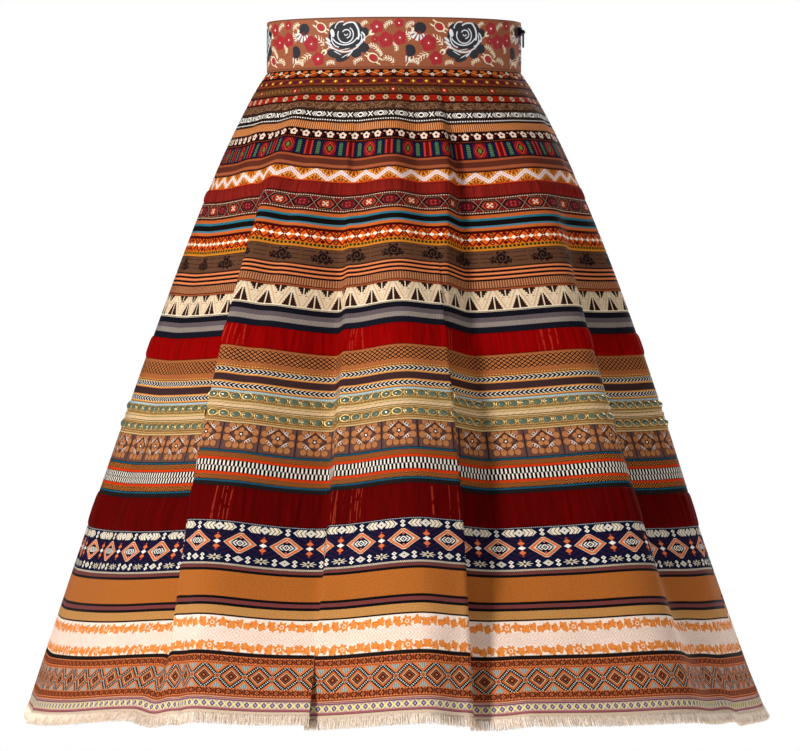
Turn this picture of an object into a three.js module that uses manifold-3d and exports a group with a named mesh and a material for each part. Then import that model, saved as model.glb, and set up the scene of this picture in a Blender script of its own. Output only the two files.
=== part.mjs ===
// A ribbon skirt: a full midi skirt pieced edge to edge from woven ribbons, velvet bands, a gold cord
// and beaded braid, on a brocade waistband, with a brush fringe at the hem and a zip in the left side seam.
// Millimetres, +Z up. The skirt's front faces -Y and the wearer's left side is +X.
// The origin is the centre of the waist, at half the waistband's height.
import * as THREE from 'three';
import { mergeVertices } from 'three/addons/utils/BufferGeometryUtils.js';
import Module from 'manifold-3d';

// Driving dimensions
const WAIST_HALF_WIDTH = 136;
const WAIST_HALF_DEPTH = 95;
const HEM_HALF_WIDTH = 394;
const HEM_HALF_DEPTH = 384;
const WAISTBAND_HEIGHT = 54.7;
const WAISTBAND_THICKNESS = 2.4;
const PIECE_GAP = 0.3;

// The cloth flares faster over the hips: an extra share of the whole flare, which fades over this share of length
const HIP_FLARE = 0.08;
const HIP_FADE = 0.12;

// Heights of the hip and the middle of the skirt, as shares of the cloth's length, where the folds are measured
const HIP_SHARE = 0.17;
const MID_SHARE = 0.52;

// Share of a fold's own slope that lifts or lowers the bands on it; the rest is taken up by the weave
const FOLD_RISE = 0.55;

// Ribbons from the waist down, each as wide as it shows between its seams
const RIBBON_COLUMNS = ['name', 'width', 'thickness', 'puff', 'colour', 'roughness'];
const RIBBONS = [
  ['floral_vine', 10.8, 1.4, 0, 0xb5702f, 0.7],
  ['star_dots', 12, 1.4, 0, 0x6d2f2a, 0.7],
  ['olive_sprig', 11.3, 1.4, 0, 0x6b5a30, 0.7],
  ['red_rosettes', 9.2, 1.4, 0, 0xb5452b, 0.7],
  ['brown_fleck', 10.2, 1.4, 0, 0x6a4a30, 0.8],
  ['black_leaf', 15.2, 1.4, 0, 0x1f1816, 0.7],
  ['orange_rib', 10.2, 1.6, 0, 0xd07a35, 0.8],
  ['white_flowers', 12.2, 1.4, 0, 0x4a2c22, 0.7],
  ['totem_blocks', 18.8, 1.4, 0, 0x4a3550, 0.7],
  ['brown_stripe', 14.2, 1.4, 0, 0x5f351f, 0.7],
  ['white_zigzag', 15.7, 1.6, 0, 0xd9a56a, 0.7],
  ['velvet_narrow', 13.7, 1.6, 0.7, 0x7c1218, 0.9],
  ['medallions', 20.2, 1.4, 0, 0x6a2a30, 0.7],
  ['teal_stripe', 18.2, 1.4, 0, 0x2f5566, 0.6],
  ['red_lattice', 22.8, 1.4, 0, 0xc8622c, 0.7],
  ['black_flowers', 19.2, 1.4, 0, 0x5a4530, 0.7],
  ['orange_lines', 25.3, 1.6, 0, 0xb56a35, 0.7],
  ['cream_peaks', 22.8, 1.4, 0, 0xe5cba8, 0.7],
  ['grey_navy', 24.2, 1.6, 0, 0x5a5c6c, 0.6],
  ['velvet_upper', 24.3, 1.6, 1, 0x9a0c0c, 0.9],
  ['honeycomb', 23, 1.4, 0, 0xb5793c, 0.7],
  ['chevrons', 25, 1.4, 0, 0x5c3d33, 0.7],
  ['beads_upper', 15, 2, 0, 0x9da67c, 0.5],
  ['gold_cord', 4.5, 2, 0.8, 0xd9b36a, 0.4],
  ['beads_lower', 16.5, 2, 0, 0x8b8a5a, 0.5],
  ['quatrefoils', 30, 1.6, 0, 0x8b5a42, 0.8],
  ['checks', 39, 1.4, 0, 0xa06a48, 0.7],
  ['velvet_lower', 37.2, 1.6, 1, 0x700808, 0.9],
  ['navy_diamonds', 48.2, 1.4, 0, 0x231f38, 0.7],
  ['ochre_felt', 53.8, 1.8, 0, 0xb06f33, 0.9],
  ['peach_flowers', 38, 1.6, 0, 0xf3d6c2, 0.7],
  ['rust_tapestry', 49.5, 1.6, 0, 0x8d4a2a, 0.8],
  ['yellow_cross', 13, 1.4, 0, 0xd8c58a, 0.7],
].map((row) => Object.fromEntries(RIBBON_COLUMNS.map((column, i) => [column, row[i]])));

// Brush fringe below the last ribbon: a narrow heading strip, then locks that taper to their tips
const FRINGE_HEADING = 4;
const FRINGE_LENGTH = 11;
const FRINGE_THICKNESS = 1.4;
const LOCK_SPACING = 20;
const LOCK_TIP_SHARE = 0.7;

// Corners of the folds, by their angle in degrees from the front towards the wearer's left.
// Each says how far the cloth stands out and leans sideways there at hip, middle and hem height,
// in millimetres, and in how many steps the wall goes on to the next corner.
const FOLD_COLUMNS = ['at', 'hipOut', 'hipSide', 'midOut', 'midSide', 'hemOut', 'hemSide', 'steps'];
const FOLDS = [
  [-172, 4, 0, 14, 0, 22, 0, 2],
  [-154, -3, 0, -12, 0, -24, 0, 2],
  [-136, 5, 0, 14, 0, 26, 0, 2],
  [-118, -4, 0, -14, 0, -24, 0, 2],
  [-105, 4, 1, 7, 1, 8, -2, 2],
  [-85, -5, 2, -2, 4, -8, 5, 2],
  [-73, -7, 4, -19, 6, -1, 7, 3],
  [-44, 1, -14, -36, 24, 2, 17, 2],
  [-37, 15, 4, 26, -2, 5, 20, 1],
  [-28, 3, 4, 15, -11, 35, 8, 1],
  [-16, -6, 1, -26, 8, 12, 27, 1],
  [-13, -10, -1, -2, 10, 0, 4, 1],
  [2, 3, -6, 24, 3, 28, 18, 1],
  [9, -9, -2, 13, 10, 11, 10, 1],
  [16, -2, 4, 4, -24, -10, -25, 1],
  [20, -17, 7, -17, -1, 15, -2, 2],
  [47, 10, 3, 15, -6, 23, -8, 2],
  [61, 9, 3, -18, -22, -10, 11, 2],
  [74, 4, -3, 9, -6, -12, -9, 2],
  [91, -4, 0, -9, 0, 1, -2, 2],
  [107, 8, -2, 10, -5, 12, 0, 2],
  [124, -3, 0, -12, 0, -22, 0, 2],
  [142, 5, 0, 14, 0, 26, 0, 2],
  [164, -3, 0, -12, 0, -22, 0, 3],
].map((row) => Object.fromEntries(FOLD_COLUMNS.map((column, i) => [column, row[i]])));

// Zip in the side seam: a closed chain behind the seam, a slider on the waistband and its pull tab
const SEAM_ANGLE = 78;
const ZIP_STATIONS = [12, 60, 105, 150];
const ZIP_WIDTH = 14;
const ZIP_THICKNESS = 1.2;
const SLIDER_HEIGHT = 16.5;
const SLIDER_SIZE = { wide: 7, high: 9, thick: 2.4 };
const EAR_THICKNESS = 1.2;
const PIN_RADIUS = 0.8;
const TAB_EYE_RADIUS = 1.9;
const TAB_WIDTH = 3.6;
const TAB_LENGTH = 17;
const TAB_THICKNESS = 1.2;
const RUNNING_GAP = 0.3;

const SEAM_Z = -WAISTBAND_HEIGHT / 2;
const RIBBON_LENGTH = RIBBONS.reduce((sum, ribbon) => sum + ribbon.width, 0);
const FALL_STEP = 6;

const radians = THREE.MathUtils.degToRad;
const smooth = (x) => x * x * (3 - 2 * x);

// How far one measure of the folds reaches at an angle, eased between two corners
function foldMeasure(angle, column) {
  const first = FOLDS[0].at;
  const turned = first + THREE.MathUtils.euclideanModulo(angle - first, 360);
  const index = FOLDS.findLastIndex((fold) => fold.at <= turned);
  const fold = FOLDS[index];
  const next = FOLDS[(index + 1) % FOLDS.length];
  const span = THREE.MathUtils.euclideanModulo(next.at - fold.at, 360);
  return THREE.MathUtils.lerp(fold[column], next[column], smooth((turned - fold.at) / span));
}

// A fold grows from nothing at the waist to its hip value, then on a parabola through hip, middle and hem
function foldAlong(share, hip, mid, hem) {
  if (share < HIP_SHARE) return hip * smooth(share / HIP_SHARE);
  const hipPart = (share - MID_SHARE) * (share - 1) / ((HIP_SHARE - MID_SHARE) * (HIP_SHARE - 1));
  const midPart = (share - HIP_SHARE) * (share - 1) / ((MID_SHARE - HIP_SHARE) * (MID_SHARE - 1));
  const hemPart = (share - HIP_SHARE) * (share - MID_SHARE) / ((1 - HIP_SHARE) * (1 - MID_SHARE));
  return hip * hipPart + mid * midPart + hem * hemPart;
}

// The smooth flared cone under the folds, in plan
function flarePoint(angle, share) {
  const flare = share + HIP_FLARE * (1 - share) * (1 - Math.exp(-share / HIP_FADE));
  const halfWidth = THREE.MathUtils.lerp(WAIST_HALF_WIDTH, HEM_HALF_WIDTH, flare);
  const halfDepth = THREE.MathUtils.lerp(WAIST_HALF_DEPTH, HEM_HALF_DEPTH, flare);
  return new THREE.Vector2(halfWidth * Math.sin(radians(angle)), -halfDepth * Math.cos(radians(angle)));
}

// The folded cloth in plan: the cone's point moved out and sideways by the folds
function foldedPoint(angle, share) {
  const measure = (column) => foldMeasure(angle, column);
  const out = foldAlong(share, measure('hipOut'), measure('midOut'), measure('hemOut'));
  const side = foldAlong(share, measure('hipSide'), measure('midSide'), measure('hemSide'));
  const outward = new THREE.Vector2(Math.sin(radians(angle)), -Math.cos(radians(angle)));
  const sideways = new THREE.Vector2(Math.cos(radians(angle)), Math.sin(radians(angle)));
  return flarePoint(angle, share).addScaledVector(outward, out).addScaledVector(sideways, side);
}

// How far a length of cloth drops when it also travels sideways from one plan point to the next
const dropBetween = (from, to, length) => Math.sqrt(Math.max(length ** 2 - from.distanceToSquared(to), 0));

// One fall line of the cloth from the waist seam to below the hem, as points every FALL_STEP along it
const fallLines = new Map();
function fallLine(angle) {
  if (fallLines.has(angle)) return fallLines.get(angle);
  const points = [];
  let z = SEAM_Z;
  let flareFrom = flarePoint(angle, 0);
  let foldedFrom = foldedPoint(angle, 0);
  for (let length = 0; length < RIBBON_LENGTH + 5 * FALL_STEP; length += FALL_STEP) {
    points.push(new THREE.Vector3(foldedFrom.x, foldedFrom.y, z));
    const share = (length + FALL_STEP) / RIBBON_LENGTH;
    const flareTo = flarePoint(angle, share);
    const foldedTo = foldedPoint(angle, share);
    z -= THREE.MathUtils.lerp(dropBetween(flareFrom, flareTo, FALL_STEP),
      dropBetween(foldedFrom, foldedTo, FALL_STEP), FOLD_RISE);
    flareFrom = flareTo;
    foldedFrom = foldedTo;
  }
  fallLines.set(angle, points);
  return points;
}

// Outer face of the cloth at an angle and a length below the waist seam
function clothPoint(angle, length) {
  const points = fallLine(angle);
  const place = length / FALL_STEP;
  const index = THREE.MathUtils.clamp(Math.floor(place), 0, points.length - 2);
  return points[index].clone().lerp(points[index + 1], place - index);
}

// A point moved out from the cloth's outer face by a distance, or in by a negative one
function liftedPoint(angle, length, lift) {
  const angleStep = 1;
  const lengthStep = 3;
  const around = clothPoint(angle + angleStep, length).sub(clothPoint(angle - angleStep, length));
  const down = clothPoint(angle, length + lengthStep).sub(clothPoint(angle, length - lengthStep));
  const normal = new THREE.Vector3().crossVectors(around, down).normalize().negate();
  return clothPoint(angle, length).addScaledVector(normal, lift);
}

// Angle that a distance along the side seam's two edges takes up at a length below the waist
function angleOf(distance, length) {
  const point = clothPoint(SEAM_ANGLE, length);
  return THREE.MathUtils.radToDeg(distance / Math.hypot(point.x, point.y));
}

// Angles of the wall's columns, from the side seam all the way round to it again
function columnAngles() {
  const angles = [];
  FOLDS.forEach((fold, index) => {
    const next = FOLDS[(index + 1) % FOLDS.length];
    const span = THREE.MathUtils.euclideanModulo(next.at - fold.at, 360);
    for (let step = 0; step < fold.steps; step++) {
      const angle = fold.at + span * step / fold.steps;
      angles.push(angle > SEAM_ANGLE ? angle : angle + 360);
    }
  });
  return angles.sort((a, b) => a - b);
}

const COLUMN_ANGLES = columnAngles();

// The same columns for one row of the wall, with its two ends half a gap from the seam
function rowAngles(length) {
  const half = angleOf(PIECE_GAP / 2, length);
  return [SEAM_ANGLE + half, ...COLUMN_ANGLES, SEAM_ANGLE + 360 - half];
}

// A closed solid between two grids of points, outer and inner, each of rows from top to bottom
function wallSolid(outer, inner) {
  const rows = outer.length;
  const columns = outer[0].length;
  const positions = [...outer.flat(), ...inner.flat()].flatMap((point) => point.toArray());
  const outside = (row, column) => row * columns + column;
  const inside = (row, column) => rows * columns + outside(row, column);
  const faces = [];
  const quad = (a, b, c, d) => faces.push(a, b, c, a, c, d);
  for (let row = 0; row < rows - 1; row++) {
    for (let column = 0; column < columns - 1; column++) {
      quad(outside(row, column), outside(row + 1, column), outside(row + 1, column + 1), outside(row, column + 1));
      quad(inside(row, column), inside(row, column + 1), inside(row + 1, column + 1), inside(row + 1, column));
    }
    quad(outside(row, 0), inside(row, 0), inside(row + 1, 0), outside(row + 1, 0));
    quad(outside(row, columns - 1), outside(row + 1, columns - 1), inside(row + 1, columns - 1), inside(row, columns - 1));
  }
  for (let column = 0; column < columns - 1; column++) {
    quad(outside(0, column), outside(0, column + 1), inside(0, column + 1), inside(0, column));
    quad(outside(rows - 1, column), inside(rows - 1, column), inside(rows - 1, column + 1), outside(rows - 1, column + 1));
  }
  const geometry = new THREE.BufferGeometry();
  geometry.setAttribute('position', new THREE.Float32BufferAttribute(positions, 3));
  geometry.setIndex(faces);
  geometry.computeVertexNormals();
  return geometry;
}

function fabric(colour, roughness) {
  return new THREE.MeshStandardMaterial({ color: colour, roughness, metalness: 0 });
}

function metal(colour) {
  return new THREE.MeshStandardMaterial({ color: colour, roughness: 0.4, metalness: 0.8 });
}

const skirt = new THREE.Group();

function addPiece(name, geometry, material) {
  const piece = new THREE.Mesh(geometry, material);
  piece.name = name;
  skirt.add(piece);
  return piece;
}

// Direction straight out of the waistband's outer face at an angle
function waistOutward(angle) {
  const point = flarePoint(angle, 0);
  return new THREE.Vector3(point.x / WAIST_HALF_WIDTH ** 2, point.y / WAIST_HALF_DEPTH ** 2, 0).normalize();
}

// A point at a height, moved out from the waistband's outer face by a lift, or in by a negative one
function waistPoint(angle, z, lift) {
  const point = flarePoint(angle, 0);
  return new THREE.Vector3(point.x, point.y, z).addScaledVector(waistOutward(angle), lift);
}

// Waistband: a straight band cut in one, open at the side seam
function addWaistband() {
  const level = (z, inset) => rowAngles(0).map((angle) => waistPoint(angle, z, -inset));
  const top = WAISTBAND_HEIGHT / 2;
  const bottom = SEAM_Z + PIECE_GAP / 2;
  const geometry = wallSolid([level(top, 0), level(bottom, 0)],
    [level(top, WAISTBAND_THICKNESS), level(bottom, WAISTBAND_THICKNESS)]);
  addPiece('waistband', geometry, fabric(0x6b3a2a, 0.5));
}

// Ribbons: each a ring of cloth between two seams; velvet and cord swell in the middle of their width
function addRibbons() {
  let seam = 0;
  for (const ribbon of RIBBONS) {
    const top = seam + PIECE_GAP / 2;
    const bottom = seam + ribbon.width - PIECE_GAP / 2;
    const middle = (top + bottom) / 2;
    const rows = ribbon.puff ? [[top, 0], [middle, ribbon.puff], [bottom, 0]] : [[top, 0], [bottom, 0]];
    const face = (lift) => rows.map(([length, swell]) => (
      rowAngles(length).map((angle) => liftedPoint(angle, length, lift ?? swell))));
    addPiece(ribbon.name, wallSolid(face(), face(-ribbon.thickness)), fabric(ribbon.colour, ribbon.roughness));
    seam += ribbon.width;
  }
}

// Fringe: locks side by side under a narrow heading, set on the straight stretches of the last ribbon's edge
function addFringe() {
  const top = RIBBON_LENGTH + PIECE_GAP / 2;
  const levels = [top, top + FRINGE_HEADING, top + FRINGE_HEADING + FRINGE_LENGTH];
  const lines = levels.map((length) => rowAngles(top).map((angle) => ({
    outer: liftedPoint(angle, length, 0),
    inner: liftedPoint(angle, length, -FRINGE_THICKNESS),
  })));
  const positions = [];
  const faces = [];
  const quad = (a, b, c, d) => faces.push(a, b, c, a, c, d);
  // Adds the outer and the inner point of one level between two columns, and gives the outer one's index
  const addPair = (level, column, share) => {
    for (const side of ['outer', 'inner']) {
      positions.push(...lines[level][column][side].clone().lerp(lines[level][column + 1][side], share).toArray());
    }
    return positions.length / 3 - 2;
  };
  const columns = lines[0].length;
  let topLeft = addPair(0, 0, 0);
  let rootLeft = addPair(1, 0, 0);
  quad(topLeft, topLeft + 1, rootLeft + 1, rootLeft);
  for (let column = 0; column < columns - 1; column++) {
    const chord = lines[1][column].outer.distanceTo(lines[1][column + 1].outer);
    const locks = Math.max(1, Math.round(chord / LOCK_SPACING));
    for (let lock = 0; lock < locks; lock++) {
      const inset = (1 - LOCK_TIP_SHARE) / 2;
      const tipLeft = addPair(2, column, (lock + inset) / locks);
      const tipRight = addPair(2, column, (lock + 1 - inset) / locks);
      const topRight = addPair(0, column, (lock + 1) / locks);
      const rootRight = addPair(1, column, (lock + 1) / locks);
      quad(topLeft, rootLeft, rootRight, topRight);
      quad(topLeft + 1, topRight + 1, rootRight + 1, rootLeft + 1);
      quad(topLeft, topRight, topRight + 1, topLeft + 1);
      quad(rootLeft, tipLeft, tipRight, rootRight);
      quad(rootLeft + 1, rootRight + 1, tipRight + 1, tipLeft + 1);
      quad(rootLeft, rootLeft + 1, tipLeft + 1, tipLeft);
      quad(rootRight, tipRight, tipRight + 1, rootRight + 1);
      quad(tipLeft, tipLeft + 1, tipRight + 1, tipRight);
      topLeft = topRight;
      rootLeft = rootRight;
    }
  }
  quad(topLeft, rootLeft, rootLeft + 1, topLeft + 1);
  const geometry = new THREE.BufferGeometry();
  geometry.setAttribute('position', new THREE.Float32BufferAttribute(positions, 3));
  geometry.setIndex(faces);
  geometry.computeVertexNormals();
  addPiece('hem_fringe', geometry, fabric(0xead2b4, 0.9));
}

// Zip chain: the closed tapes behind the seam, from the top of the waistband down into the ribbons
function addZipChain() {
  const across = (length) => [-1, 0, 1].map((side) => SEAM_ANGLE + side * angleOf(ZIP_WIDTH / 2, length));
  const face = (inset) => [
    across(0).map((angle) => waistPoint(angle, WAISTBAND_HEIGHT / 2 - 1, -inset)),
    across(0).map((angle) => waistPoint(angle, SEAM_Z, -inset)),
    ...ZIP_STATIONS.map((length) => across(length).map((angle) => liftedPoint(angle, length, -inset))),
  ];
  const inset = WAISTBAND_THICKNESS + PIECE_GAP;
  addPiece('zip_chain', wallSolid(face(inset), face(inset + ZIP_THICKNESS)), fabric(0x3a2118, 0.6));
}

// Joins closed shapes into one solid
const wasm = await Module();
wasm.setup();
function joined(geometries) {
  const solids = geometries.map((geometry) => {
    const bare = geometry.clone();
    bare.deleteAttribute('normal');
    bare.deleteAttribute('uv');
    const merged = mergeVertices(bare);
    return new wasm.Manifold(new wasm.Mesh({
      numProp: 3,
      vertProperties: merged.attributes.position.array,
      triVerts: new Uint32Array(merged.index.array),
    }));
  });
  const mesh = solids.reduce((whole, solid) => whole.add(solid)).getMesh();
  const geometry = new THREE.BufferGeometry();
  geometry.setAttribute('position', new THREE.BufferAttribute(mesh.vertProperties, 3));
  geometry.setIndex(new THREE.BufferAttribute(mesh.triVerts, 1));
  geometry.computeVertexNormals();
  return geometry;
}

// Everything on the slider is drawn round its pin: X along the pin, Y out of the waistband, Z up
const EYE_REACH = TAB_EYE_RADIUS + RUNNING_GAP;
const outward = waistOutward(SEAM_ANGLE);
const zipPlace = new THREE.Group();
zipPlace.position.copy(waistPoint(SEAM_ANGLE, SLIDER_HEIGHT, PIECE_GAP + SLIDER_SIZE.thick + EYE_REACH));
zipPlace.rotation.z = Math.atan2(-outward.x, outward.y);
skirt.add(zipPlace);

// Slider: a plate on the waistband with two ears that hold the pin
function addSlider() {
  const plate = new THREE.BoxGeometry(SLIDER_SIZE.wide, SLIDER_SIZE.thick, SLIDER_SIZE.high);
  plate.translate(0, -EYE_REACH - SLIDER_SIZE.thick / 2, 0);
  const earPlace = TAB_WIDTH / 2 + RUNNING_GAP + EAR_THICKNESS / 2;
  const earDepth = EYE_REACH + PIN_RADIUS + 0.5 * EAR_THICKNESS;
  const ears = [-1, 1].map((side) => {
    const ear = new THREE.BoxGeometry(EAR_THICKNESS, earDepth + EAR_THICKNESS / 2, 2 * TAB_EYE_RADIUS);
    return ear.translate(side * earPlace, earDepth / 2 - EYE_REACH - EAR_THICKNESS / 4, 0);
  });
  const pin = new THREE.CylinderGeometry(PIN_RADIUS, PIN_RADIUS, 2 * earPlace, 16).rotateZ(Math.PI / 2);
  const slider = addPiece('zip_slider', joined([plate, ...ears, pin]), metal(0x3b2a20));
  zipPlace.add(slider);
}

// Pull tab: an eye on the pin and a slim flat tail that hangs from it
function addPullTab() {
  const half = TAB_THICKNESS / 2;
  const meeting = Math.asin(half / TAB_EYE_RADIUS);
  const outline = new THREE.Shape();
  outline.absarc(0, 0, TAB_EYE_RADIUS, meeting - Math.PI / 2, 1.5 * Math.PI - meeting, false);
  outline.lineTo(-half, -TAB_LENGTH);
  outline.lineTo(half, -TAB_LENGTH);
  outline.closePath();
  const hole = new THREE.Path();
  hole.absarc(0, 0, PIN_RADIUS + RUNNING_GAP, 0, 2 * Math.PI, true);
  outline.holes.push(hole);
  const geometry = new THREE.ExtrudeGeometry(outline, { depth: TAB_WIDTH, bevelEnabled: false, curveSegments: 20 });
  geometry.translate(0, 0, -TAB_WIDTH / 2);
  const outOfBand = new THREE.Vector3(0, 1, 0);
  const up = new THREE.Vector3(0, 0, 1);
  const alongPin = new THREE.Vector3(1, 0, 0);
  geometry.applyMatrix4(new THREE.Matrix4().makeBasis(outOfBand, up, alongPin));
  zipPlace.add(addPiece('zip_pull', geometry, metal(0x4a3527)));
}

addWaistband();
addRibbons();
addFringe();
addZipChain();
addSlider();
addPullTab();

export default skirt;
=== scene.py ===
"""The looks of a ribbon skirt: ribbons, waistband, braid and fringe as cloth with woven patterns.

Metres, +Z up, the skirt's front towards -Y and the wearer's left side towards +X. The form of the cloth and
the patterns are written in millimetres and turned into metres where the meshes are made.
"""

import math

import bpy
import numpy as np
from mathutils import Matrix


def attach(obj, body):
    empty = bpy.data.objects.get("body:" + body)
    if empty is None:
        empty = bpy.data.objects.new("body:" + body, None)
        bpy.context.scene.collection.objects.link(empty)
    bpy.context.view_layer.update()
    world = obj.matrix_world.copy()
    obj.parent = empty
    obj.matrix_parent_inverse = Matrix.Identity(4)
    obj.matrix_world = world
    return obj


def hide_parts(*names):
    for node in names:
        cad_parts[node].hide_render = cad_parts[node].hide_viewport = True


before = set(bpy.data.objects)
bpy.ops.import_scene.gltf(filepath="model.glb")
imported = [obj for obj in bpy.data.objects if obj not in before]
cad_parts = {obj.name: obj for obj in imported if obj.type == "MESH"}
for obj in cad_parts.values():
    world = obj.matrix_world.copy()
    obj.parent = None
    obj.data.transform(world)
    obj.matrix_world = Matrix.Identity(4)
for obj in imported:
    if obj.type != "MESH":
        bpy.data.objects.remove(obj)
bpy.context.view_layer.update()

MM = 0.001
BODY = "skirt"

# Form of the cloth, in millimetres
WAIST_HALF_WIDTH, WAIST_HALF_DEPTH = 136.0, 95.0
HEM_HALF_WIDTH, HEM_HALF_DEPTH = 394.0, 384.0
WAISTBAND_HEIGHT = 54.7
PIECE_GAP = 0.3
HIP_FLARE, HIP_FADE = 0.08, 0.12
HIP_SHARE, MID_SHARE = 0.17, 0.52
FOLD_RISE = 0.55
FALL_STEP, PAST_HEM = 3.0, 30
SEAM_ANGLE = 78.0
ANGLE_STEP, LENGTH_STEP = 0.5, 2
SPREAD_SHARE, FINE_ANGLES = 0.75, 2881
SHARP_EDGE = 70

# Width of each ribbon from the waist down
RIBBONS = {
    "floral_vine": 10.8, "star_dots": 12, "olive_sprig": 11.3, "red_rosettes": 9.2, "brown_fleck": 10.2,
    "black_leaf": 15.2, "orange_rib": 10.2, "white_flowers": 12.2, "totem_blocks": 18.8, "brown_stripe": 14.2,
    "white_zigzag": 15.7, "velvet_narrow": 13.7, "medallions": 20.2, "teal_stripe": 18.2, "red_lattice": 22.8,
    "black_flowers": 19.2, "orange_lines": 25.3, "cream_peaks": 22.8, "grey_navy": 24.2, "velvet_upper": 24.3,
    "honeycomb": 23, "chevrons": 25, "beads_upper": 15, "gold_cord": 4.5, "beads_lower": 16.5,
    "quatrefoils": 30, "checks": 39, "velvet_lower": 37.2, "navy_diamonds": 48.2, "ochre_felt": 53.8,
    "peach_flowers": 38, "rust_tapestry": 49.5, "yellow_cross": 13,
}
CLOTH_LENGTH = sum(RIBBONS.values())
SEAM_Z = -WAISTBAND_HEIGHT / 2

# Fold corners: angle from the front, how far out and sideways at the hip, the middle and the hem
FOLDS = np.array([
    [-172, 4, 0, 14, 0, 22, 0],
    [-154, -3, 0, -12, 0, -24, 0],
    [-136, 5, 0, 14, 0, 26, 0],
    [-118, -4, 0, -14, 0, -24, 0],
    [-105, 4, 1, 7, 1, 8, -2],
    [-85, -5, 2, -2, 4, -8, 5],
    [-73, -7, 4, -19, 6, -1, 7],
    [-44, 1, -14, -36, 24, 2, 17],
    [-37, 15, 4, 26, -2, 5, 20],
    [-28, 3, 4, 15, -11, 35, 8],
    [-16, -6, 1, -26, 8, 12, 27],
    [-13, -10, -1, -2, 10, 0, 4],
    [2, 3, -6, 24, 3, 28, 18],
    [9, -9, -2, 13, 10, 11, 10],
    [16, -2, 4, 4, -24, -10, -25],
    [20, -17, 7, -17, -1, 15, -2],
    [47, 10, 3, 15, -6, 23, -8],
    [61, 9, 3, -18, -22, -10, 11],
    [74, 4, -3, 9, -6, -12, -9],
    [91, -4, 0, -9, 0, 1, -2],
    [107, 8, -2, 10, -5, 12, 0],
    [124, -3, 0, -12, 0, -22, 0],
    [142, 5, 0, 14, 0, 26, 0],
    [164, -3, 0, -12, 0, -22, 0],
], dtype=float)

# Soft ripples between the folds: angle, length below the waist, height out, half width and half length
RIPPLES = [
    (-52, 66, 2.2, 7, 34), (-8, 62, 2.0, 6, 30), (26, 64, 2.2, 6, 34), (62, 60, 2.0, 7, 30),
    (-20, 64, -2.0, 7, 32), (8, 62, -1.8, 6, 30), (42, 66, -2.2, 8, 34),
    (-58, 330, 1.8, 6, 110), (33, 300, 2.2, 7, 120),
    (-31, 560, 5.0, 4.5, 220), (-23, 560, -8.0, 5, 230), (7, 540, 5.0, 5, 220), (19.5, 540, -8.0, 5.5, 230),
    (43, 560, 8.0, 9, 230), (53, 560, -4.0, 5, 200), (64, 600, 4.0, 6, 160),
    (118, 90, 2.4, 7, 40), (150, 74, 2.2, 6, 36), (-176, 80, 2.4, 7, 38), (-146, 86, 2.2, 6, 36),
    (-112, 76, 2.0, 7, 38), (132, 420, 2.6, 6, 130), (176, 520, 3.0, 5, 130), (-128, 470, 2.6, 6, 140),
    (-164, 620, 3.0, 5, 90),
]


def smooth(x):
    return x * x * (3 - 2 * x)


def fold_measures(angles):
    """How far out and sideways the folds are at these angles, eased between the corners."""
    at = np.append(FOLDS[:, 0], FOLDS[0, 0] + 360)
    values = np.append(FOLDS[:, 1:], FOLDS[:1, 1:], axis=0)
    turned = at[0] + np.mod(angles - at[0], 360)
    index = np.clip(np.searchsorted(at, turned, side="right") - 1, 0, len(FOLDS) - 1)
    part = smooth((turned - at[index]) / (at[index + 1] - at[index]))[:, None]
    return (values[index] + (values[index + 1] - values[index]) * part).T


def fold_along(share, hip, mid, hem):
    """Growth of a fold down the cloth: eased to the hip, then a parabola through hip, middle and hem."""
    hip_part = (share - MID_SHARE) * (share - 1) / ((HIP_SHARE - MID_SHARE) * (HIP_SHARE - 1))
    mid_part = (share - HIP_SHARE) * (share - 1) / ((MID_SHARE - HIP_SHARE) * (MID_SHARE - 1))
    hem_part = (share - HIP_SHARE) * (share - MID_SHARE) / ((1 - HIP_SHARE) * (1 - MID_SHARE))
    lower = hip * hip_part + mid * mid_part + hem * hem_part
    upper = hip * smooth(np.clip(share / HIP_SHARE, 0, 1))
    return np.where(share < HIP_SHARE, upper, lower)


def ripple(angles, lengths):
    """The small ripples, as a height out of the cloth."""
    height = np.zeros((len(lengths), len(angles)))
    for angle, length, out, half_round, half_down in RIPPLES:
        across = (np.mod(angles - angle + 180, 360) - 180)[None, :] / half_round
        down = (lengths[:, None] - length) / half_down
        height += out * np.exp(-across ** 2 - down ** 2)
    return height


def plan(angles, lengths):
    """Plan of the smooth flare and of the folded cloth: two arrays of rows by columns by x and y."""
    share = (lengths / CLOTH_LENGTH)[:, None]
    turn = np.radians(angles)[None, :]
    flare = share + HIP_FLARE * (1 - share) * (1 - np.exp(-share / HIP_FADE))
    half_width = WAIST_HALF_WIDTH + (HEM_HALF_WIDTH - WAIST_HALF_WIDTH) * flare
    half_depth = WAIST_HALF_DEPTH + (HEM_HALF_DEPTH - WAIST_HALF_DEPTH) * flare
    smooth_plan = np.stack([half_width * np.sin(turn), -half_depth * np.cos(turn)], axis=-1)
    hip_out, hip_side, mid_out, mid_side, hem_out, hem_side = fold_measures(angles)
    out = fold_along(share, hip_out, mid_out, hem_out) + ripple(angles, lengths)
    side = fold_along(share, hip_side, mid_side, hem_side)
    x = smooth_plan[..., 0] + out * np.sin(turn) + side * np.cos(turn)
    y = smooth_plan[..., 1] - out * np.cos(turn) + side * np.sin(turn)
    return smooth_plan, np.stack([x, y], axis=-1)


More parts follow.
